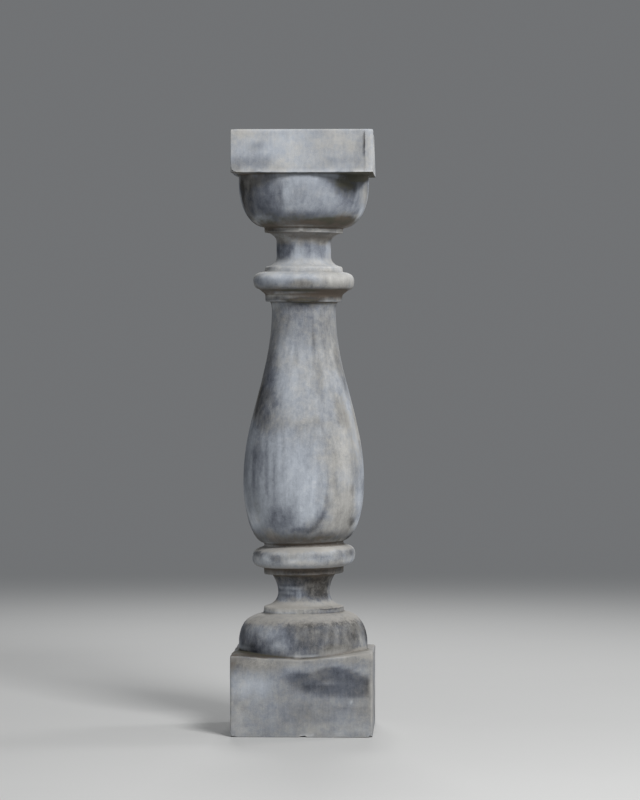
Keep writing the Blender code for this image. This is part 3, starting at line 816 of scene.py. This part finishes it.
# Chips knocked off the block: (x, y, z, radius, depth), in metres
CHIPS = (
    (-0.0820, -0.0825, 0.6510, 0.0075, 0.0030),
    (-0.0800, -0.0800, 0.6995, 0.0040, 0.0010),
    (-0.0480, -0.0825, 0.6500, 0.0045, 0.0011),
    (-0.0340, -0.0825, 0.6500, 0.0030, 0.0007),
    (0.0120, -0.0825, 0.6500, 0.0040, 0.0006),
    (0.0030, -0.0817, 0.0000, 0.0060, 0.0020),
    (-0.0800, -0.0800, 0.0000, 0.0055, 0.0018),
    (0.0810, -0.0810, 0.0010, 0.0065, 0.0024),
    (0.0450, -0.0817, 0.0000, 0.0120, 0.0009),
    (-0.0040, -0.0750, 0.0905, 0.0100, 0.0014),
    (0.0560, -0.0560, 0.1000, 0.0030, 0.0012),
    (0.0300, -0.0730, 0.0930, 0.0028, 0.0012),
)

# How ragged a chip's edge is, and how many lumps it has to the metre
CHIP_RAGGEDNESS = 0.35
CHIP_LUMPS = 260


def chip_away(grid, normals):
    """Cut the chips into the grid, and give how deep they go at each point."""
    depth = np.zeros(grid.shape[:2])
    for x, y, z, radius, deepest in CHIPS:
        gap = np.linalg.norm(grid - np.array([x, y, z]), axis=2)
        near = gap < 2 * radius
        if near.any():
            lumps = np.array([noise.noise(Vector(point) * CHIP_LUMPS) for point in grid[near]])
            ragged = gap[near] * (1 + CHIP_RAGGEDNESS * lumps)
            depth[near] = np.maximum(depth[near], deepest * (1 - smooth_step(0.25 * radius, radius, ragged)))
    grid -= normals * depth[:, :, None]
    return depth


# The flake lost from the abacus: how far it runs along the front and along the side, how much more is gone at
# the top, and how rough its face is. The crack beside it: its width, its depth, how far left of the flake it
# lies, and how far it wanders.
FLAKE_WIDTH, FLAKE_DEPTH = 9.4 * MM, 4.8 * MM
FLAKE_FLARE = 0.7 * MM
FLAKE_ROUGHNESS = 0.25 * MM
CRACK_WIDTH, CRACK_DEPTH = 0.9 * MM, 0.9 * MM
CRACK_GAP = 0.8 * MM
CRACK_WANDER = 0.5 * MM


def split_flake(grid):
    """The front right upright edge of the abacus has split away along a rough slanting face."""
    half = BLOCK_SIDE / 2
    outward = np.array([FLAKE_DEPTH, -FLAKE_WIDTH]) / math.hypot(FLAKE_DEPTH, FLAKE_WIDTH)
    start = np.array([half - FLAKE_WIDTH, -half + 0.4 * MM])
    x, y, z = grid[:, :, 0], grid[:, :, 1], grid[:, :, 2]
    over = (grid[:, :, :2] - start) @ outward + FLAKE_FLARE * up_abacus(z)
    over += FLAKE_ROUGHNESS * field(grid, 9 * MM, 3, seed=4.0)
    inside = (z > ABACUS_FOOT - MM) & (x > 0.05) & (y < -0.05)
    cut = np.where(inside & (over > 0), over, 0.0) * smooth_step(ABACUS_FOOT + MM, ABACUS_FOOT + 5.5 * MM, z)
    x -= outward[0] * cut
    y -= outward[1] * cut
    wander = CRACK_WANDER * field(grid, 12 * MM, 2, seed=5.0)
    crack = np.exp(-(((x - start[0] + CRACK_GAP + wander) / CRACK_WIDTH) ** 2)) * (y < -0.05)
    low, high = ABACUS_FOOT + 17 * MM, BLOCK_HEIGHT - MM
    crack *= between(z, low, low + 7 * MM, high - 3 * MM, high)
    y += CRACK_DEPTH * crack
    return smooth_step(0.0, 0.5 * MM, cut), crack


# How far the abacus's left side is dressed back, and how far its right side leans in at the top, in mm
DRESSED_BACK = 0.7
LEANT_IN = 1.7


def up_abacus(z):
    """0 at the abacus's foot and below, and 1 at its top."""
    return np.clip((z - ABACUS_FOOT) / ABACUS_HEIGHT, 0, 1)


def shape_abacus(grid):
    """The abacus is cut a little out of true: its left side is dressed back and its right side leans in."""
    x, y, z = grid[:, :, 0], grid[:, :, 1], grid[:, :, 2]
    on_abacus = smooth_step(ABACUS_FOOT - 0.2 * MM, ABACUS_FOOT + 0.2 * MM, z)
    right = smooth_step(0.03, BLOCK_SIDE / 2, x)
    left = smooth_step(0.03, BLOCK_SIDE / 2, -x)
    back = smooth_step(-0.09, 0.06, y)
    x += on_abacus * (left * DRESSED_BACK - right * LEANT_IN * up_abacus(z) * back) * MM


# How deep the block swells and sinks, how deep the dressing, the tool strokes and the bites out of the
# arrises are, and how far the noise is taken down, so that more stone is lost than stands proud
SWELL_DEPTH = 0.30 * MM
DRESSING_DEPTH = 0.12 * MM
STROKE_DEPTH = 0.08 * MM
BITE_DEPTH = 0.8 * MM
LOSS = 0.3

# How near to the top and the underside nothing is carved, and how far inside the solid the sides stay
BED = 0.4 * MM
INSET = 0.05 * MM

# How deep a chip is when it shows its full colour
FRESH_CHIP = 2 * MM


def carve(s):
    """The block as a grid of points, with what the finish needs to know at each."""
    rows = surface_rows(s)
    heights = rows[:, HEIGHT]
    grid = block_grid(rows, np.where(heights < BLOCK_HEIGHT / 2, PLINTH_CORNER, ABACUS_CORNER))
    round_part = 1 - rows[:, SQUARE]
    lean_mouldings(grid)
    wear_plinth_top(grid)
    swell_lower_bowl(grid)
    shape_abacus(grid)
    normals = grid_normals(grid)
    on_bed = (heights < BED) | (heights > BLOCK_HEIGHT - BED)
    free = np.where(on_bed, 0.0, 1.0)
    swell = field(grid, 0.070, 2, seed=1.0)
    dressing = field(grid, 0.016, 3, seed=2.0)
    strokes = field(grid, 0.009, 2, seed=3.0, stretch=(1.0, 1.0, 0.22))
    arris = smooth_step(0.05, 0.30, -rows[:, QUIRK])
    bites = arris * smooth_step(0.15, 0.75, field(grid, 0.012, 3, seed=6.0))
    rise = SWELL_DEPTH * (swell - LOSS) + DRESSING_DEPTH * (dressing - LOSS)
    rise += STROKE_DEPTH * strokes * round_part - BITE_DEPTH * bites
    grid += normals * (rise * free)[:, :, None]
    grid[:, :, 2] = np.clip(grid[:, :, 2], 0.0, BLOCK_HEIGHT)
    flake, crack = split_flake(grid)
    chips = chip_away(grid, normals)
    inset = INSET * np.array([1, 1, 0])
    np.clip(grid, np.array(BLOCK_LOW) + inset, np.array(BLOCK_HIGH) - inset, out=grid)
    return {
        "grid": grid,
        "rows": rows,
        "flake": flake,
        "crack": crack,
        "chips": chips / FRESH_CHIP,
        "beds": 1 - np.where(on_bed, smooth_step(0.066, 0.080, rows[:, REACH]), 1.0),
        "normals": grid_normals(grid),
    }


# The share of a side's length that the bend at its corner takes up
BEND_SHARE = 0.025


def from_middle(block, side):
    """How far each point lies to the right of the middle line of a side, round the surface, in mm."""
    angles, along, rounding, sides = ring_shapes()
    reach, square = block["rows"][:, REACH] / MM, block["rows"][:, SQUARE]
    flat = (1 - BEND_SHARE) * along + BEND_SHARE * np.sin(rounding) / math.sin(math.pi / 4) + 2 * sides
    way = reach * (angles - side * math.pi / 2) * (1 - square) + reach * (flat - 2 * side) * square
    girth = reach * (2 * math.pi * (1 - square) + 8 * square)
    return (way + girth / 2) % girth - girth / 2


# How far a mark's edge wanders, how big a mark has to be to wander that far, and how far out its edge is
# looked for, in mm, and how much of the softness within the edge lies outside it too
RAGGEDNESS = 3.2
FULLY_RAGGED = 9
RAGGED_MARGIN = 4
OUTER_SHARE = 0.6


def add_marks(block, layers, side, marks):
    """Lay marks over the finish layers of a side, with ragged edges. All its lengths are in mm."""
    across = from_middle(block, side)
    up = block["grid"][:, :, 2] / MM
    ragged_across, ragged_up = block["ragged"]
    shown = np.broadcast_to(1 - block["beds"], up.shape)
    for kind, softness, patches in marks:
        for patch in patches:
            place, height, half_width, half_height, amount, lean = (*patch, 0)[:6]
            near = np.abs(up - height) < 2 * half_height + RAGGED_MARGIN
            gap_up = up[near] - height
            gap_across = across[near] - place - lean * gap_up
            gap_across += ragged_across[near] * min(1.0, half_width / FULLY_RAGGED)
            gap_up += ragged_up[near] * min(1.0, half_height / FULLY_RAGGED)
            gap = np.hypot(gap_across / half_width, gap_up / half_height)
            cover = 1 - smooth_step(1 - softness, 1 + OUTER_SHARE * softness, gap)
            layers[kind][near] += amount * shown[near] * cover


# The tide mark on the plinth's front: its upper and its lower edge, (mm right, mm up), how dark it is, and
# how ragged beside a plain mark
TIDE_UPPER = (
    (-26, 69), (-19, 73), (-12, 75), (6, 75), (13, 75), (20, 78), (27, 81), (35, 82), (43, 81.5),
    (52, 79.5), (59, 77.5), (66, 74.5), (73, 71.5), (79, 68.5), (84, 65),
)
TIDE_LOWER = (
    (-26, 66), (-19, 62), (-12, 59), (-5, 56), (2, 51), (22, 47.5), (84, 48.5),
)
TIDE_DARKNESS = 0.30
TIDE_RAGGEDNESS = 0.1


def add_tide_mark(block, layers):
    """The dark tide mark on the plinth's front, crisp along its upper edge and softer along its lower one."""
    across, up = from_middle(block, 0), block["grid"][:, :, 2] / MM
    ragged = TIDE_RAGGEDNESS * block["ragged"][1]
    inside = smooth_step(-2.2, 2.4, read_off(TIDE_UPPER, across) - up + ragged)
    inside *= smooth_step(-4.0, 5.0, up - read_off(TIDE_LOWER, across) - ragged)
    inside *= between(across, -27, -10, 77, 80.5)
    layers["tone"] -= TIDE_DARKNESS * inside


# What the marks on the other sides are, with their usual amounts: slate, limewash, warm stone and soil
SIDE_KINDS = (
    ("tone", -0.26), ("tone", -0.14), ("tone", 0.18), ("tone", 0.12), ("warmth", 0.5), ("soil_and_shade", 0.2),
)
SIDE_REACH = 62
SIDE_SOFTNESS = 0.8


def side_marks(seed):
    """Marks at random for a side that is seen less, in the order and form of FRONT_MARKS."""
    chance = np.random.default_rng(seed)
    marks = []
    for low, high, count, half_width, half_height in SIDE_ZONES:
        for _ in range(count):
            kind, amount = SIDE_KINDS[chance.integers(len(SIDE_KINDS))]
            wide = half_width * chance.uniform(0.5, 1.5)
            place = chance.uniform(-SIDE_REACH, SIDE_REACH)
            height = chance.uniform(low, high)
            tall = half_height * chance.uniform(0.6, 1.3)
            lean = chance.uniform(-0.1, 0.1)
            amount *= chance.uniform(0.5, 1.1)
            marks.append((kind, SIDE_SOFTNESS, ((place, height, wide, tall, amount, lean),)))
    return marks


def finish_layers(block):
    """How pale, warm, soiled and dusty the stone is at each point, with painted shade and highlight laid into
    its tone and soil.
    """
    grid, rows, normals = block["grid"], block["rows"], block["normals"]
    up = grid[:, :, 2] / MM
    round_part = 1 - rows[:, SQUARE]
    upright = 1 - smooth_step(0.5, 0.95, np.abs(normals[:, :, 2]))
    clouds = field(grid, 0.055, 3, seed=11.0)
    blotches = field(grid, 0.014, 4, seed=12.0)
    streaks = field(grid, 0.0065, 3, seed=13.0, stretch=(1.0, 1.0, 0.12))
    quirk = smooth_step(0.02, 0.24, rows[:, QUIRK])
    hollow = smooth_step(0.02, 0.20, rows[:, HOLLOW])
    arris = smooth_step(0.03, 0.22, -rows[:, QUIRK])
    down = smooth_step(0.25, 0.85, -normals[:, :, 2])
    over = smooth_step(0.30, 0.80, normals[:, :, 2])
    block["ragged"] = [RAGGEDNESS * field(grid, 0.013, 4, seed=seed) for seed in (14.0, 15.0)]
    # Painted shade under the abacus, darkest under its right end
    soffit_shade = down * smooth_step(0.02, 0.3, rows[:, SQUARE])
    soffit_shade *= 0.15 + 0.80 * smooth_step(0.055, 0.078, grid[:, :, 0])
    # The plinth's ledge to the left of the bowl, darkest at the front: soil, with painted shade of the bowl
    corner = over * between(up, 86, 90, 96, 99) * smooth_step(0.005, 0.045, -grid[:, :, 0])
    corner *= 0.4 + 0.6 * smooth_step(0.005, 0.050, -grid[:, :, 1])
    # How much each of these takes from the tone or adds to the soil. Darkening the quirks, the hollows and
    # the faces that look down is painted shade, beside the soil that the hollows hold; the arrises are
    # lighter, except underneath, as worn edges with a painted highlight
    tone = read_off(PALENESS_AND_SHADE, up)
    tone += 0.06 * clouds + 0.06 * blotches + 0.08 * streaks * round_part * upright
    tone += 0.12 * arris * (1 - down) - 0.18 * quirk - 0.08 * hollow - 0.10 * down - soffit_shade - 0.30 * corner
    soil_and_shade = read_off(SOIL_AND_SHADE, up) + 0.06 * blotches
    soil_and_shade += 0.30 * quirk + 0.15 * hollow + 0.20 * down + soffit_shade + 0.55 * corner
    layers = {
        "tone": tone,
        "warmth": read_off(WARMTH, up) + 0.20 * field(grid, 0.045, 2, seed=16.0),
        "soil_and_shade": soil_and_shade,
        "dust": read_off(DUST, up) * over * (1 - corner) + 0.08 * blotches,
        "mottling": read_off(MOTTLING, up),
    }
    add_marks(block, layers, 0, FRONT_MARKS)
    add_tide_mark(block, layers)
    for side in (1, 2, 3):
        add_marks(block, layers, side, side_marks(side))
    layers["tone"] += 0.35 * block["chips"] + 0.05 * block["flake"] - 0.50 * block["crack"]
    return layers


def mesh_of(grid, layers):
    """One closed mesh: quads between the rows and a fan at each end, with the layers as attributes."""
    rows, columns = grid.shape[:2]
    points = [*grid.reshape(-1, 3)]
    row, column = np.meshgrid(np.arange(rows - 1), np.arange(columns), indexing="ij")
    below, above, after = row * columns, (row + 1) * columns, (column + 1) % columns
    quads = np.stack([below + column, below + after, above + after, above + column], axis=2)
    faces = quads.reshape(-1, 4).tolist()
    foot, top = len(points), len(points) + 1
    points += [(0.0, 0.0, grid[0, 0, 2]), (0.0, 0.0, grid[-1, 0, 2])]
    last = (rows - 1) * columns
    for place in range(columns):
        beside = (place + 1) % columns
        faces.append((foot, beside, place))
        faces.append((top, last + place, last + beside))
    mesh = bpy.data.meshes.new(NODE + "_stone")
    mesh.from_pydata(points, [], faces)
    mesh.validate()
    mesh.shade_smooth()
    for name, values in layers.items():
        levels = np.concatenate([values.ravel(), [values[0].mean(), values[-1].mean()]])
        mesh.attributes.new(name, "FLOAT", "POINT").data.foreach_set("value", np.clip(levels, -1, 2))
    return mesh


def opaque(tint):
    return (*tint, 1.0)


class Finish:
    """A node material, put together from small steps."""

    def __init__(self, name):
        self.material = bpy.data.materials.new(name)
        self.material.use_nodes = True
        self.tree = self.material.node_tree
        self.shader = self.tree.nodes["Principled BSDF"]
        self.place = self.node("ShaderNodeTexCoord").outputs["Object"]

    def node(self, kind, **settings):
        made = self.tree.nodes.new(kind)
        for name, value in settings.items():
            setattr(made, name, value)
        return made

    def feed(self, socket, value):
        if isinstance(value, bpy.types.NodeSocket):
            self.tree.links.new(value, socket)
        else:
            socket.default_value = value

    def math(self, operation, *values):
        made = self.node("ShaderNodeMath", operation=operation)
        for socket, value in zip(made.inputs, values):
            self.feed(socket, value)
        return made.outputs[0]

    def layer(self, name):
        return self.node("ShaderNodeAttribute", attribute_name=name).outputs["Fac"]

    def noise(self, spacing, octaves=3.0, stretch=(1.0, 1.0, 1.0), warp=0.0):
        """Noise about one half, with its features a spacing apart in metres."""
        mapping = self.node("ShaderNodeMapping")
        self.feed(mapping.inputs["Vector"], self.place)
        mapping.inputs["Scale"].default_value = [part / spacing for part in stretch]
        made = self.node("ShaderNodeTexNoise")
        self.feed(made.inputs["Vector"], mapping.outputs["Vector"])
        for name, value in (("Scale", 1.0), ("Detail", octaves), ("Roughness", 0.6), ("Distortion", warp)):
            made.inputs[name].default_value = value
        return made.outputs["Fac"]

    def stir(self, level, *noises, gain=1.0):
        """A level with noises added to it, each with its strength, and all of them times the gain."""
        stirred = 0.0
        for texture, strength in noises:
            stirred = self.math("MULTIPLY_ADD", self.math("SUBTRACT", texture, 0.5), 2 * strength, stirred)
        return self.math("MULTIPLY_ADD", stirred, gain, level)

    def rise(self, level, low, high):
        """0 below low and 1 above high, eased between them."""
        made = self.node("ShaderNodeMapRange", interpolation_type="SMOOTHSTEP")
        self.feed(made.inputs["Value"], level)
        made.inputs["From Min"].default_value = low
        made.inputs["From Max"].default_value = high
        return made.outputs["Result"]

    def ramp(self, level, stops):
        made = self.node("ShaderNodeValToRGB")
        self.feed(made.inputs["Fac"], level)
        points = made.color_ramp.elements
        while len(points) < len(stops):
            points.new(1.0)
        for point, (place, tint) in zip(points, stops):
            point.position = place
            point.color = opaque(tint)
        return made.outputs["Color"]

    def blend(self, under, over, share):
        made = self.node("ShaderNodeMix", data_type="RGBA")
        self.feed(made.inputs["Factor"], share)
        self.feed(made.inputs["A"], under)
        self.feed(made.inputs["B"], over)
        return made.outputs["Result"]


def weathered_stone(tints):
    """Blue-grey stone under thin limewash, with slate patches, dust on the ledges, and soil with painted
    shade in the hollows, under the mouldings and under the abacus.
    """
    stone = Finish("weathered_stone")
    flecks = stone.noise(0.0011, 3.0)
    mottle = stone.noise(0.0050, 4.0, warp=0.6)
    strokes = stone.noise(0.0022, 3.0, (1.0, 1.0, 0.14))
    blots = stone.noise(0.012, 4.0, warp=0.4)
    level = stone.stir(
        stone.layer("tone"), (mottle, 0.18), (strokes, 0.10), (flecks, 0.12), (blots, 0.10),
        gain=stone.layer("mottling"),
    )
    cool = stone.ramp(level, [
        (0.0, tints.slate), (0.25, tints.deep_grey), (0.5, tints.body_grey), (0.75, tints.thin_wash),
        (1.0, tints.limewash),
    ])
    warm = stone.ramp(level, [(0.0, tints.warm_slate), (0.5, tints.warm_grey), (1.0, tints.warm_wash)])
    warmth = stone.rise(stone.stir(stone.layer("warmth"), (blots, 0.35), (mottle, 0.25)), 0.15, 0.95)
    skin = stone.blend(cool, warm, warmth)
    dust = stone.rise(stone.stir(stone.layer("dust"), (mottle, 0.45), (flecks, 0.20)), 0.25, 0.95)
    skin = stone.blend(skin, opaque(tints.dust), stone.math("MULTIPLY", dust, 0.75))
    # The soil layer and its tints also carry the painted shade under the abacus and under the mouldings
    browner = stone.rise(stone.stir(stone.layer("warmth"), (blots, 0.5)), 0.35, 0.85)
    soil_and_shade_tint = stone.blend(opaque(tints.olive_soil_and_shade), opaque(tints.brown_soil_and_shade), browner)
    soil_and_shade = stone.rise(stone.stir(stone.layer("soil_and_shade"), (mottle, 0.35), (flecks, 0.18)), 0.12, 0.85)
    skin = stone.blend(skin, soil_and_shade_tint, stone.math("MULTIPLY", soil_and_shade, 0.9))
    stone.feed(stone.shader.inputs["Base Color"], skin)
    stone.feed(stone.shader.inputs["Roughness"], stone.stir(0.86, (mottle, 0.10), (flecks, 0.08)))
    stone.shader.inputs["Specular IOR Level"].default_value = 0.3
    pits = stone.node("ShaderNodeTexVoronoi")
    stone.feed(pits.inputs["Vector"], stone.place)
    pits.inputs["Scale"].default_value = 260.0
    pocks = stone.rise(pits.outputs["Distance"], 0.05, 0.28)
    relief = stone.stir(stone.math("MULTIPLY", pocks, 0.35), (flecks, 0.5), (strokes, 0.25))
    bump = stone.node("ShaderNodeBump")
    bump.inputs["Strength"].default_value = 0.5
    bump.inputs["Distance"].default_value = 0.0004
    stone.feed(bump.inputs["Height"], relief)
    stone.feed(stone.shader.inputs["Normal"], bump.outputs["Normal"])
    return stone.material


def pale_floor(settings, sky):
    """A pale floor that fades into the sky colour a few metres out."""
    floor = Finish("pale_floor")
    shade = floor.stir(1.0, (floor.noise(0.35, 3.0), 0.03), (floor.noise(0.004, 2.0), 0.03))
    tint = floor.blend(opaque((0.0, 0.0, 0.0)), opaque(settings.floor_colour), shade)
    floor.feed(floor.shader.inputs["Base Color"], tint)
    floor.shader.inputs["Roughness"].default_value = 0.9
    floor.shader.inputs["Specular IOR Level"].default_value = 0.2
    far = floor.node("ShaderNodeEmission")
    far.inputs["Color"].default_value = sky
    reach = floor.node("ShaderNodeVectorMath", operation="LENGTH")
    floor.feed(reach.inputs[0], floor.place)
    mix = floor.node("ShaderNodeMixShader")
    floor.feed(mix.inputs[0], floor.rise(reach.outputs["Value"], settings.fade_start, settings.fade_end))
    floor.feed(mix.inputs[1], floor.shader.outputs[0])
    floor.feed(mix.inputs[2], far.outputs[0])
    floor.feed(floor.tree.nodes["Material Output"].inputs["Surface"], mix.outputs[0])
    return floor.material


class BALUSTER_OT_carve(bpy.types.Operator):
    """Carve the weathered baluster in place of its plain solid"""

    bl_idname = "baluster.carve"
    bl_label = "Carve baluster"
    bl_options = {"REGISTER", "UNDO"}

    def execute(self, context):
        block = carve(context.scene.baluster_sizes)
        mesh = mesh_of(block["grid"], finish_layers(block))
        mesh.materials.append(weathered_stone(context.scene.baluster_colours))
        piece = bpy.data.objects.new("carved_baluster", mesh)
        context.scene.collection.objects.link(piece)
        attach(piece, "root")
        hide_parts(NODE)
        return {"FINISHED"}


# How many times as far as its fade the floor runs, the height that the lamps shine on, as a share of the
# baluster's, and the width of the camera's sensor in millimetres
FLOOR_SPREAD = 12
LAMP_AIM = 0.6
SENSOR_WIDTH = 36.0


class BALUSTER_OT_studio(bpy.types.Operator):
    """Set up the pale floor, the soft lights and the camera"""

    bl_idname = "baluster.studio"
    bl_label = "Set up studio"
    bl_options = {"REGISTER", "UNDO"}

    def execute(self, context):
        scene = context.scene
        settings = scene.baluster_studio
        sky = opaque(settings.sky)
        self.lay_floor(scene, settings, sky)
        self.light(scene, settings, sky)
        self.place_camera(scene, settings)
        return {"FINISHED"}

    def lay_floor(self, scene, settings, sky):
        edge = FLOOR_SPREAD * settings.fade_end
        corners = [(-edge, -edge, 0), (edge, -edge, 0), (edge, edge, 0), (-edge, edge, 0)]
        mesh = bpy.data.meshes.new("floor")
        mesh.from_pydata(corners, [], [(0, 1, 2, 3)])
        mesh.materials.append(pale_floor(settings, sky))
        floor = bpy.data.objects.new("floor", mesh)
        scene.collection.objects.link(floor)

    def light(self, scene, settings, sky):
        scene.view_settings.view_transform = "Standard"
        world = bpy.data.worlds.new("studio")
        world.use_nodes = True
        world.node_tree.nodes["Background"].inputs["Color"].default_value = sky
        scene.world = world
        aim = Vector((0, 0, BLOCK_HEIGHT * LAMP_AIM))
        for name, azimuth, elevation, watts in (
            ("soft_lamp", settings.lamp_azimuth, settings.lamp_elevation, settings.lamp_power),
            ("side_lamp", settings.side_azimuth, settings.side_elevation, settings.side_power),
            ("back_lamp", settings.back_azimuth, settings.back_elevation, settings.back_power),
        ):
            level = math.cos(elevation)
            towards = Vector((level * math.sin(azimuth), -level * math.cos(azimuth), math.sin(elevation)))
            data = bpy.data.lights.new(name, "AREA")
            data.size = settings.lamp_size
            data.energy = watts
            lamp = bpy.data.objects.new(name, data)
            lamp.location = aim + towards * settings.lamp_distance
            lamp.rotation_euler = (-towards).to_track_quat("-Z", "Y").to_euler()
            lamp.visible_camera = False
            scene.collection.objects.link(lamp)

    def place_camera(self, scene, settings):
        azimuth = settings.azimuth
        right = Vector((math.cos(azimuth), math.sin(azimuth), 0))
        outward = Vector((math.sin(azimuth), -math.cos(azimuth), 0))
        data = bpy.data.cameras.new("camera")
        data.lens = settings.focal_length
        data.sensor_width = SENSOR_WIDTH
        camera = bpy.data.objects.new("camera", data)
        camera.location = outward * settings.distance + Vector((0, 0, settings.eye_height))
        aim = right * settings.aim_right + Vector((0, 0, settings.aim_height))
        camera.rotation_euler = (aim - camera.location).to_track_quat("-Z", "Y").to_euler()
        scene.collection.objects.link(camera)
        scene.camera = camera


class BALUSTER_PT_panel(bpy.types.Panel):
    """Lists the steps and the values behind them"""

    bl_idname = "BALUSTER_PT_panel"
    bl_label = "Stone baluster"
    bl_space_type = "VIEW_3D"
    bl_region_type = "UI"
    bl_category = "Baluster"

    def draw(self, context):
        layout = self.layout
        scene = context.scene
        for operator, groups in (
            (BALUSTER_OT_carve, (scene.baluster_sizes, scene.baluster_colours)),
            (BALUSTER_OT_studio, (scene.baluster_studio,)),
        ):
            layout.operator(operator.bl_idname)
            for group in groups:
                column = layout.column(align=True)
                for name in type(group).__annotations__:
                    column.prop(group, name)


CLASSES = (
    BALUSTER_PG_sizes,
    BALUSTER_PG_colours,
    BALUSTER_PG_studio,
    BALUSTER_OT_carve,
    BALUSTER_OT_studio,
    BALUSTER_PT_panel,
)


def register():
    for cls in CLASSES:
        bpy.utils.register_class(cls)
    bpy.types.Scene.baluster_sizes = PointerProperty(type=BALUSTER_PG_sizes)
    bpy.types.Scene.baluster_colours = PointerProperty(type=BALUSTER_PG_colours)
    bpy.types.Scene.baluster_studio = PointerProperty(type=BALUSTER_PG_studio)


def unregister():
    del bpy.types.Scene.baluster_sizes
    del bpy.types.Scene.baluster_colours
    del bpy.types.Scene.baluster_studio
    for cls in reversed(CLASSES):
        bpy.utils.unregister_class(cls)


def main():
    register()
    bpy.ops.baluster.carve()
    bpy.ops.baluster.studio()


if __name__ == "__main__":
    main()
